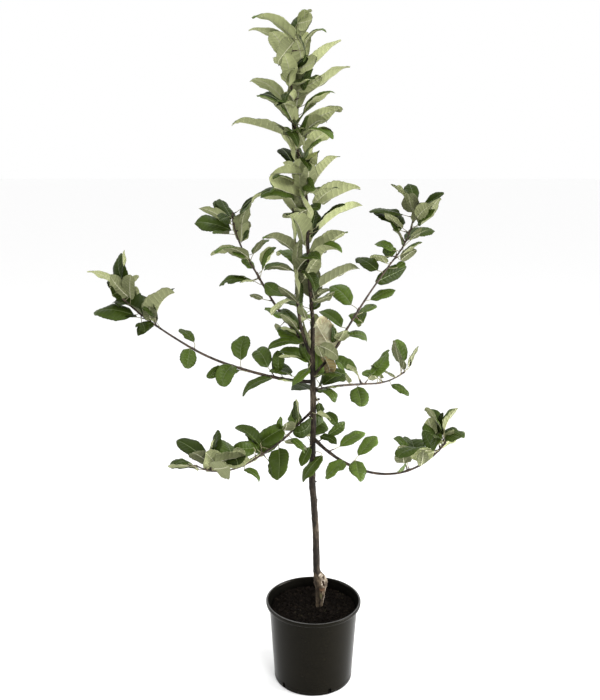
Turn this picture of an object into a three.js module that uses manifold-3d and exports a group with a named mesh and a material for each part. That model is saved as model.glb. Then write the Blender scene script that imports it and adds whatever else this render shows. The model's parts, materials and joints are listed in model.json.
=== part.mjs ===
// Dwarf apple tree in a nursery pot: a two-stemmed young tree with six arching boughs, one short
// bough at its back, its leaves gathered into tufts, and the pot of potting mix that it stands in.
// Millimetres, +Z up. The origin is the centre of the pot's flat underside, +X is to the right and
// -Y to the front of the tree.
import * as THREE from "three";
import { mergeVertices } from "three/addons/utils/BufferGeometryUtils.js";
import Module from "manifold-3d";

const wasm = await Module();
wasm.setup();

// ---------------------------------------------------------------- driving dimensions
const GAP = 0.3; // clearance kept between solids that touch

const POT = {
  height: 215,
  rimRadius: 121.6, // over the rolled rim
  shoulderRadius: 113.2, // wall just under the rim
  footRadius: 99.8,
  wall: 2.2,
  floor: 3.2,
  rimDepth: 12, // height of the rolled rim
  segments: 32,
  slots: 5, // drain slots round the foot
  slotTurn: 6, // bearing of the first slot
  slotWidth: 9,
  slotHeight: 17,
  slotSill: 1.2, // what is left under each slot
};
const SOIL_LEVEL = 190; // potting mix, 25 mm under the rim

// Axis and radius of the main stem: it leans, kinks at the graft union and wavers to its tip.
const TRUNK = {
  sides: 8,
  stations: [
    { z: SOIL_LEVEL + GAP, x: 16, y: 6, r: 10.4 },
    { z: 205, x: 16.5, y: 6, r: 10.2 },
    { z: 236, x: 18.8, y: 5.5, r: 12.4 },
    { z: 249, x: 19.6, y: 5, r: 15.0 },
    { z: 258, x: 18.6, y: 4.5, r: 16.6 },
    { z: 271, x: 15.6, y: 4, r: 14.7 },
    { z: 282, x: 11.6, y: 4, r: 11.2 },
    { z: 298, x: 8.3, y: 4, r: 9.0 },
    { z: 340, x: 7.3, y: 3, r: 8.5 },
    { z: 390, x: 6.2, y: 1, r: 8.0 },
    { z: 484, x: 0.3, y: 0, r: 7.9 },
    { z: 540, x: -4, y: -1, r: 8.0 },
    { z: 620, x: -3, y: -2, r: 7.1 },
    { z: 712, x: -2, y: -3, r: 7.2 },
    { z: 800, x: -3, y: -3, r: 6.6 },
    { z: 880, x: -4, y: -2, r: 5.3 },
    { z: 945, x: -4, y: -1, r: 4.6 },
    { z: 1030, x: -11, y: 0, r: 4.2 },
    { z: 1130, x: -16, y: 2, r: 3.8 },
    { z: 1236, x: -20, y: 4, r: 3.4 },
    { z: 1348, x: -41, y: 4, r: 2.9 },
    { z: 1472, x: -53, y: 6, r: 2.4 },
    { z: 1540, x: -55, y: 6, r: 2.0 },
    { z: 1592, x: -50, y: 6, r: 1.4 },
  ],
};

// Each limb leaves the main stem at a height, on a bearing (degrees from +X towards +Y) that may
// turn along its length, and climbs by the angles in rises, spread evenly from root to tip.
const LIMBS = {
  second_leader: { from: 851, bearing: [200, 160], length: 418, rises: [62, 78, 88, 88, 86, 84], root: 4.4, tip: 2.0 },
  bough_left_low: { from: 722, bearing: [222, 212], length: 357, rises: [-24, -33, -20, -16, 8, 39], root: 3.1, tip: 1.5 },
  bough_right_low: { from: 652, bearing: [-34, -20], length: 386, rises: [-36, -23, -6, 16, 40, 58], root: 4.2, tip: 1.9, bendAt: 0.5 },
  bough_left_mid: { from: 794, bearing: [172, 164], length: 533, rises: [-1, 11, 16, 28, 32, 42], root: 4.1, tip: 1.9 },
  bough_right_mid: { from: 770, bearing: [52, 40], length: 368, rises: [-2, -9, -10, 19], root: 3.7, tip: 1.7 },
  bough_right_high: { from: 809, bearing: [14, 30], length: 477, rises: [43, 59, 53, 47, 90], root: 3.5, tip: 1.3 },
  bough_left_high: { from: 847, bearing: [156, 142], length: 409, rises: [60, 46, 55, 52, 82], root: 3.9, tip: 1.6 },
  bough_back: { from: 838, bearing: [88, 104], length: 330, rises: [40, 55, 62, 74], root: 3.6, tip: 1.5 },
};
const LIMB_SIDES = 6;

// Leaves stand on every stem in a two-fifths spiral.
const LEAF_TURN = 144;

// Tufts of leaves: where they sit on their stem (height on the leader, share of length on a
// limb), how far the leaves reach, how steeply they rise from the level, how many leaf sprays
// they hold, the bearing of the first spray, and on a full tuft how much thicker it is.
const LEADER_TUFTS = [
  { name: "leaves_leader_01", at: 1556, reach: 112, rise: 44, sprays: 5, first: 172 },
  { name: "leaves_leader_02", at: 1500, reach: 126, rise: 38, sprays: 5, first: 8 },
  { name: "leaves_leader_03", at: 1430, reach: 128, rise: 32, sprays: 5, first: 174 },
  { name: "leaves_leader_04", at: 1360, reach: 134, rise: 30, sprays: 5, first: 10 },
  { name: "leaves_leader_05", at: 1292, reach: 104, rise: 34, sprays: 5, first: 200 },
  { name: "leaves_leader_06", at: 1222, reach: 122, rise: 30, sprays: 5, first: 20 },
  { name: "leaves_leader_07", at: 1156, reach: 128, rise: 26, sprays: 5, first: -8 },
  { name: "leaves_leader_08", at: 1088, reach: 118, rise: 18, sprays: 5, first: 186 },
  { name: "leaves_leader_09", at: 1018, reach: 122, rise: 12, sprays: 5, first: -12 },
  { name: "leaves_leader_10", at: 948, reach: 104, rise: 4, sprays: 5, first: 160 },
  { name: "leaves_leader_11", at: 872, reach: 100, rise: -4, sprays: 5, first: 188 },
  { name: "leaves_leader_12", at: 778, reach: 80, rise: -8, sprays: 4, first: 204 },
  { name: "leaves_leader_13", at: 706, reach: 82, rise: 14, sprays: 4, first: 20 },
  { name: "leaves_leader_14", at: 640, reach: 84, rise: -14, sprays: 5, first: 216 },
];
const BOUGH_TUFTS = {
  second_leader: [{ at: 1.0, reach: 78, rise: 62, sprays: 5, first: 10 }],
  bough_left_low: [
    { at: 0.36, reach: 84, rise: 16, sprays: 4, first: 196, full: 1.5 },
    { at: 0.66, reach: 92, rise: 12, sprays: 4, first: 150, full: 1.5 },
    { at: 1.0, reach: 92, rise: 22, sprays: 5, first: 196, full: 1.8 },
  ],
  bough_right_low: [
    { at: 0.3, reach: 78, rise: 14, sprays: 4, first: -10 },
    { at: 0.56, reach: 72, rise: 18, sprays: 3, first: 30 },
    { at: 0.85, reach: 78, rise: 28, sprays: 4, first: -120, full: 1.5 },
    { at: 1.0, reach: 84, rise: 36, sprays: 5, first: 12, full: 1.9 },
  ],
  bough_left_mid: [
    { at: 0.24, reach: 80, rise: 18, sprays: 4, first: 230 },
    { at: 0.46, reach: 84, rise: 12, sprays: 4, first: 100 },
    { at: 0.72, reach: 62, rise: -2, sprays: 3, first: 215 },
    { at: 0.97, reach: 92, rise: 26, sprays: 5, first: 190, full: 1.9 },
  ],
  bough_right_mid: [
    { at: 0.42, reach: 66, rise: 12, sprays: 4, first: -40 },
    { at: 0.72, reach: 66, rise: 4, sprays: 4, first: 100 },
    { at: 1.0, reach: 72, rise: 20, sprays: 5, first: 20, full: 1.9 },
  ],
  bough_right_high: [
    { at: 0.3, reach: 74, rise: 10, sprays: 4, first: -20 },
    { at: 0.56, reach: 82, rise: 14, sprays: 4, first: 20 },
    { at: 0.8, reach: 78, rise: 26, sprays: 4, first: 170 },
    { at: 1.0, reach: 84, rise: 30, sprays: 5, first: 8, full: 1.8 },
  ],
  bough_left_high: [
    { at: 0.5, reach: 62, rise: 10, sprays: 4, first: 10 },
    { at: 0.76, reach: 72, rise: 20, sprays: 4, first: 170 },
    { at: 1.0, reach: 86, rise: 24, sprays: 5, first: 172, full: 1.8 },
  ],
  bough_back: [
    { at: 0.5, reach: 80, rise: 18, sprays: 4, first: 60 },
    { at: 1.0, reach: 88, rise: 34, sprays: 5, first: 100, full: 1.7 },
  ],
};
const MASS = {
  core: 0.2, // half height of the middle, as a share of the reach
  thickness: 0.13, // half thickness of a spray, as a share of the reach
  faceAt: 0.46, // where a spray is thickest
  shoulder: 0.74, // where a spray is widest
  sprayHalfAngle: 21,
  unevenness: 0.14,
  liftSpread: 16,
  seed: 7,
};

// ---------------------------------------------------------------- small helpers
const rad = THREE.MathUtils.degToRad;

function random(seed) {
  let s = (seed * 2654435761) >>> 0;
  return () => {
    s = (s + 0x6d2b79f5) >>> 0;
    let t = Math.imul(s ^ (s >>> 15), 1 | s);
    t = (t + Math.imul(t ^ (t >>> 7), 61 | t)) ^ t;
    return ((t ^ (t >>> 14)) >>> 0) / 4294967296;
  };
}

function heading(bearing, rise) {
  const b = rad(bearing),
    r = rad(rise);
  return new THREE.Vector3(Math.cos(r) * Math.cos(b), Math.cos(r) * Math.sin(b), Math.sin(r));
}

function solidOf(geometry) {
  const g = geometry.index ? geometry.toNonIndexed() : geometry.clone();
  g.deleteAttribute("normal");
  g.deleteAttribute("uv");
  const merged = mergeVertices(g, 1e-3);
  return new wasm.Manifold(
    new wasm.Mesh({
      numProp: 3,
      vertProperties: new Float32Array(merged.attributes.position.array),
      triVerts: new Uint32Array(merged.index.array),
    }),
  );
}

function geometryOf(solid) {
  const m = solid.getMesh();
  const g = new THREE.BufferGeometry();
  g.setAttribute("position", new THREE.BufferAttribute(new Float32Array(m.vertProperties), 3));
  g.setIndex(new THREE.BufferAttribute(new Uint32Array(m.triVerts), 1));
  g.computeVertexNormals();
  return g;
}

const largest = (solid) =>
  solid.decompose().reduce((a, b) => (b.volume() > a.volume() ? b : a));

// ---------------------------------------------------------------- stems
// Bends a closed cylinder of the given sides along an axis: ring(k) gives the centre, the radius
// and the two directions across it for step k of steps.
function bentCylinder(sides, steps, ring) {
  const g = new THREE.CylinderGeometry(1, 1, 1, sides, steps, false);
  const p = g.attributes.position;
  for (let i = 0; i < p.count; i++) {
    const k = Math.round((p.getY(i) + 0.5) * steps);
    const { centre, radius, u, v } = ring(k);
    // u, v and the axis make a right-handed set, as the cylinder's x, z and -y do
    const x = p.getX(i) * radius,
      y = -p.getZ(i) * radius;
    p.setXYZ(
      i,
      centre.x + u.x * x + v.x * y,
      centre.y + u.y * x + v.y * y,
      centre.z + u.z * x + v.z * y,
    );
  }
  return g;
}

const leaderCurve = new THREE.CatmullRomCurve3(
  TRUNK.stations.map((s) => new THREE.Vector3(s.x, s.y, s.z)),
  false,
  "centripetal",
);

// Centre and radius of the main stem at a height, from its stations.
function trunkAt(z) {
  const s = TRUNK.stations;
  let i = 0;
  while (i < s.length - 2 && s[i + 1].z < z) i++;
  const t = THREE.MathUtils.clamp((z - s[i].z) / (s[i + 1].z - s[i].z), 0, 1);
  const point = leaderCurve.getPoint((i + t) / (s.length - 1));
  const e = t * t * (3 - 2 * t);
  return { centre: new THREE.Vector3(point.x, point.y, z), radius: s[i].r + (s[i + 1].r - s[i].r) * e };
}

function trunkGeometry(extra = 0) {
  const s = TRUNK.stations,
    low = s[0].z - (extra ? 1 : 0),
    high = s[s.length - 1].z + extra;
  const perSpan = 1,
    steps = (s.length - 1) * perSpan;
  const level = (k) => {
    const i = Math.min(Math.floor(k / perSpan), s.length - 2),
      t = (k - i * perSpan) / perSpan;
    return s[i].z + (s[i + 1].z - s[i].z) * t;
  };
  return bentCylinder(TRUNK.sides, steps, (k) => {
    const z = k === 0 ? low : k === steps ? high : level(k);
    const { centre, radius } = trunkAt(z);
    centre.z = z;
    return { centre, radius: radius + extra, u: new THREE.Vector3(1, 0, 0), v: new THREE.Vector3(0, 1, 0) };
  });
}

// The points of a limb's axis, from the middle of the main stem to its tip.
function limbAxis(limb, count = 48) {
  const start = trunkAt(limb.from).centre;
  const points = [start.clone()];
  const last = limb.rises.length - 1;
  const at = (s) => {
    const x = Math.min(s * last, last - 1e-9),
      i = Math.floor(x),
      t = x - i;
    return heading(
      limb.bearing[0] + (limb.bearing[1] - limb.bearing[0]) * s,
      limb.rises[i] * (1 - t) + limb.rises[i + 1] * t,
    );
  };
  for (let k = 1; k <= count; k++) {
    const step = at((k - 1) / count).add(at(k / count)).multiplyScalar(limb.length / count / 2);
    points.push(points[k - 1].clone().add(step));
  }
  return points;
}

const limbRadius = (limb, s) =>
  limb.tip + (limb.root - limb.tip) * Math.pow(1 - s, 1.15) + 1.1 * Math.exp(-s * limb.length / 14);

function limbGeometry(limb, axis, from, to, extra = 0) {
  const count = axis.length - 1,
    steps = Math.max(3, Math.round(((to - from) * limb.length) / 72));
  const across = heading(limb.bearing[0] + 90, 0);
  return bentCylinder(LIMB_SIDES, steps, (k) => {
    const s = from + ((to - from) * k) / steps,
      x = Math.min(s * count, count - 1e-6),
      i = Math.floor(x);
    const centre = axis[i].clone().lerp(axis[i + 1], x - i);
    const along = axis[i + 1].clone().sub(axis[i]).normalize();
    if (extra && k === 0 && from > 0) centre.addScaledVector(along, -extra);
    if (extra && k === steps) centre.addScaledVector(along, extra);
    const v = along.clone().cross(across).normalize(); // up and back along the limb
    const u = v.clone().cross(along).normalize();
    return { centre, radius: limbRadius(limb, s) + extra, u, v };
  });
}

const stems = new Map(); // name -> closed solid
const around = []; // the same solids, grown by the gap, that the tufts are cut round
const axes = {};

stems.set("trunk", solidOf(trunkGeometry()));
const trunkRoom = solidOf(trunkGeometry(GAP));
around.push(trunkRoom);

for (const [name, limb] of Object.entries(LIMBS)) {
  const axis = (axes[name] = limbAxis(limb));
  const spans = limb.bendAt
    ? [
        [name + "_inner", 0, limb.bendAt - 0.5 * (GAP / limb.length)],
        [name + "_outer", limb.bendAt + 0.5 * (GAP / limb.length), 1],
      ]
    : [[name, 0, 1]];
  const rooms = [];
  for (const [part, from, to] of spans) {
    let solid = solidOf(limbGeometry(limb, axis, from, to));
    for (const other of around) solid = solid.subtract(other);
    stems.set(part, largest(solid));
    rooms.push(solidOf(limbGeometry(limb, axis, from, to, GAP)));
  }
  around.push(...rooms);
}

// ---------------------------------------------------------------- tufts of leaves
// One closed, uneven solid: a thin star of leaf sprays round the stem, from a ball of three
// meridians a spray (its tip and two shoulders) and five rows (crown, upper face, rim, lower
// face, foot). extra makes it a little larger every way, for the room that it needs.
function tuftGeometry({ centre, reach, rise, sprays, first, seed, full = 1 }, extra = 0) {
  const next = random(MASS.seed + seed);
  const lobes = [];
  for (let k = 0; k < sprays; k++)
    lobes.push({
      bearing: (((first + LEAF_TURN * k) % 360) + 360) % 360,
      reach: reach * (k === 0 ? 1 : 1 - MASS.unevenness * next()),
      rise: rise + (next() - 0.5) * MASS.liftSpread,
      bulge: 0.85 + 0.3 * next(),
    });
  lobes.sort((a, b) => a.bearing - b.bearing);
  const columns = [];
  lobes.forEach((lobe, k) => {
    const after = lobes[(k + 1) % sprays],
      before = lobes[(k + sprays - 1) % sprays];
    const ahead = (after.bearing - lobe.bearing + 360) % 360 || 360,
      behind = (lobe.bearing - before.bearing + 360) % 360 || 360;
    const half = MASS.sprayHalfAngle;
    columns.push({ lobe, turn: -Math.min(half, behind / 2 - 5), out: MASS.shoulder });
    columns.push({ lobe, turn: 0, out: 1 });
    columns.push({ lobe, turn: Math.min(half, ahead / 2 - 5), out: MASS.shoulder });
  });
  const around = columns.length,
    g = new THREE.SphereGeometry(1, around, 4);
  const p = g.attributes.position;
  const thick = reach * MASS.thickness * full,
    core = reach * MASS.core * (1 + (full - 1) * 0.7);
  for (let row = 0; row <= 4; row++)
    for (let i = 0; i <= around; i++) {
      const { lobe, turn, out } = columns[i % around];
      const share = row === 2 ? out : row === 1 || row === 3 ? MASS.faceAt * (turn ? 0.8 : 1) : 0;
      const at = heading(lobe.bearing + turn, lobe.rise).multiplyScalar(lobe.reach * share + (share ? extra : 0));
      at.z += row === 0 ? core + extra : row === 4 ? -core - extra : (2 - row) * (thick * lobe.bulge + extra);
      if (turn && row === 2) at.z -= 0.03 * reach;
      p.setXYZ(row * (around + 1) + i, centre.x + at.x, centre.y + at.y, centre.z + at.z);
    }
  return g;
}

const tufts = [];
LEADER_TUFTS.forEach((t, i) =>
  tufts.push({ ...t, centre: trunkAt(t.at).centre, seed: 11 + i }),
);
for (const [name, list] of Object.entries(BOUGH_TUFTS)) {
  list.forEach((t, i) => {
    const axis = axes[name],
      k = Math.min(Math.round(t.at * (axis.length - 1)), axis.length - 1);
    tufts.push({
      ...t,
      name: "leaves_" + name.replace("bough_", "") + "_" + (i + 1),
      centre: axis[k].clone(),
      seed: 101 + tufts.length * 3,
    });
  });
}

const masses = new Map();
const rooms = [];
for (const tuft of tufts) {
  let solid = solidOf(tuftGeometry(tuft));
  for (const other of around) solid = solid.subtract(other);
  for (const other of rooms) solid = solid.subtract(other);
  masses.set(tuft.name, largest(solid));
  rooms.push(solidOf(tuftGeometry(tuft, 0.8)));
}

// ---------------------------------------------------------------- pot and potting mix
const wallAt = (z) => POT.footRadius + ((POT.shoulderRadius - POT.footRadius) * z) / (POT.height - POT.rimDepth);

function potSolid() {
  const { height: h, rimRadius: R, rimDepth: d, wall, floor } = POT;
  const under = h - d;
  const profile = [
    [0, 0],
    [POT.footRadius - 3.5, 0],
    [wallAt(4), 4],
    [wallAt(under), under],
    [R - 3, under + 0.6],
    [R - 0.4, under + 3],
    [R, h - 5],
    [R - 1.6, h - 1.2],
    [R - 4.5, h],
    [R - 8, h - 1],
    [wallAt(under) - wall + 0.4, h - 5],
    [wallAt(under) - wall, under],
    [wallAt(floor) - wall, floor],
    [0, floor],
  ].map(([x, y]) => new THREE.Vector2(x, y));
  const body = new THREE.LatheGeometry(profile, POT.segments);
  body.rotateX(Math.PI / 2);
  let solid = solidOf(body);
  for (let k = 0; k < POT.slots; k++) {
    const slot = new THREE.BoxGeometry(18, POT.slotWidth, POT.slotHeight - POT.slotSill);
    slot.translate(POT.footRadius - 2, 0, (POT.slotHeight + POT.slotSill) / 2);
    slot.rotateZ(rad(POT.slotTurn + (360 / POT.slots) * k));
    solid = solid.subtract(solidOf(slot));
  }
  return solid;
}

function soilSolid() {
  const inner = (z) => wallAt(z) - POT.wall - GAP - 0.1;
  const low = POT.floor + GAP;
  const profile = [
    [0, low],
    [inner(low) - 8, low],
    [inner(low + 8), low + 8],
    [inner(SOIL_LEVEL - 3), SOIL_LEVEL - 3],
    [inner(SOIL_LEVEL) - 6, SOIL_LEVEL],
    [0, SOIL_LEVEL],
  ].map(([x, y]) => new THREE.Vector2(x, y));
  const body = new THREE.LatheGeometry(profile, POT.segments);
  body.rotateX(Math.PI / 2);
  return solidOf(body);
}

// ---------------------------------------------------------------- the tree
const paint = (color, roughness) => new THREE.MeshStandardMaterial({ color, roughness, metalness: 0 });
const MATERIALS = {
  pot: paint("#242526", 0.42),
  soil: paint("#1d1611", 0.95),
  bark: paint("#6b5d50", 0.85),
  shoot: paint("#4d3a34", 0.7),
  leaf: paint("#5d7348", 0.6),
};

const tree = new THREE.Group();
tree.name = "dwarf_apple_tree_in_pot";
function add(name, solid, material) {
  const mesh = new THREE.Mesh(geometryOf(solid), material);
  mesh.name = name;
  tree.add(mesh);
}
add("pot", potSolid(), MATERIALS.pot);
add("potting_mix", soilSolid(), MATERIALS.soil);
for (const [name, solid] of stems) add(name, solid, name === "trunk" ? MATERIALS.bark : MATERIALS.shoot);
for (const [name, solid] of masses) add(name, solid, MATERIALS.leaf);

export default tree;
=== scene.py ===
"""Dwarf apple tree in a nursery pot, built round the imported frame. Metres, +Z up."""
import json
import math

import bmesh
import bpy
import numpy as np
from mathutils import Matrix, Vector

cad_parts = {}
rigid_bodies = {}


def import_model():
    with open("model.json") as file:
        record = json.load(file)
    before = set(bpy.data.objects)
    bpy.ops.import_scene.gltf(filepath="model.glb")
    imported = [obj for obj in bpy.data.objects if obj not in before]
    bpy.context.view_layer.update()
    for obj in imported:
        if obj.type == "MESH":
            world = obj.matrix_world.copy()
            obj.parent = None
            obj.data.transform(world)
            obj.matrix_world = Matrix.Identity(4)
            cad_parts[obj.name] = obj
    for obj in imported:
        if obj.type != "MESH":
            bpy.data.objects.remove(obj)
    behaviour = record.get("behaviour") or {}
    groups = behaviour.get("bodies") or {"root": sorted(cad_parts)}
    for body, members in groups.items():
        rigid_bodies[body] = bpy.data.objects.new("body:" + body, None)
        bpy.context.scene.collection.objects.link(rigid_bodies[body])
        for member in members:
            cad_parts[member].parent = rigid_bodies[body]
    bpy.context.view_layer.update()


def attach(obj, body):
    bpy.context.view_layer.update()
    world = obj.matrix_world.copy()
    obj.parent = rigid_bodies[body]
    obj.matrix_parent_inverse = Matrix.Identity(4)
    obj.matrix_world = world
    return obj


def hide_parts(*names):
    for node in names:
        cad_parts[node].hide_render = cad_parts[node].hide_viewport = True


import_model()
MM = 0.001
TAU = 2 * math.pi

# ------------------------------------------------------------------ sizes shared with the solids
TRUNK = np.array([
    # height, x, y, radius
    (190.3, 16, 6, 10.0), (197, 16.0, 6, 9.2), (205, 16.5, 6, 10.0), (220, 17.6, 6, 11.2), (236, 18.8, 5.5, 12.1), (243, 19.4, 5, 13.2),
    (249, 19.6, 5, 14.6), (258, 18.6, 4.5, 16.2), (265, 17.2, 4, 15.6), (271, 15.6, 4, 14.4), (277, 13.8, 4, 12.6), (282, 11.6, 4, 11.0),
    (288, 9.4, 4, 9.6), (298, 8.3, 4, 8.9), (340, 7.3, 3, 8.5), (390, 6.2, 1, 8.0), (484, 0.3, 0, 7.9), (540, -4, -1, 8.0), (620, -3, -2, 7.1),
    (712, -2, -3, 7.2), (800, -3, -3, 6.6), (880, -4, -2, 5.3), (945, -4, -1, 4.6), (1030, -11, 0, 4.2),
    (1130, -16, 2, 3.8), (1236, -20, 4, 3.4), (1348, -41, 4, 2.9), (1472, -53, 6, 2.4), (1540, -55, 6, 2.0),
    (1592, -50, 6, 1.4),
], float)
# height on the leader, bearing from and to, length, rises from root to tip, root and tip radius
LIMBS = {
    "second_leader": (851, (200, 160), 418, (62, 78, 88, 88, 86, 84), 4.4, 2.0),
    "bough_left_low": (722, (222, 212), 357, (-24, -33, -20, -16, 8, 39), 3.1, 1.5),
    "bough_right_low": (652, (-34, -20), 386, (-36, -23, -6, 16, 40, 58), 4.2, 1.9),
    "bough_left_mid": (794, (172, 164), 533, (-1, 11, 16, 28, 32, 42), 4.1, 1.9),
    "bough_right_mid": (770, (52, 40), 368, (-2, -9, -10, 19), 3.7, 1.7),
    "bough_right_high": (809, (14, 30), 477, (43, 59, 53, 47, 90), 3.5, 1.3),
    "bough_left_high": (847, (156, 142), 409, (60, 46, 55, 52, 82), 3.9, 1.6),
    "bough_back": (838, (88, 104), 330, (40, 55, 62, 74), 3.6, 1.5),
}
POT = dict(height=215, rim=121.6, shoulder=113.2, foot=99.8, wall=2.2, floor=3.2, rim_depth=12, slots=5, slot_turn=6, slot_width=9, slot_height=17)
SOIL = 190

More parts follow.
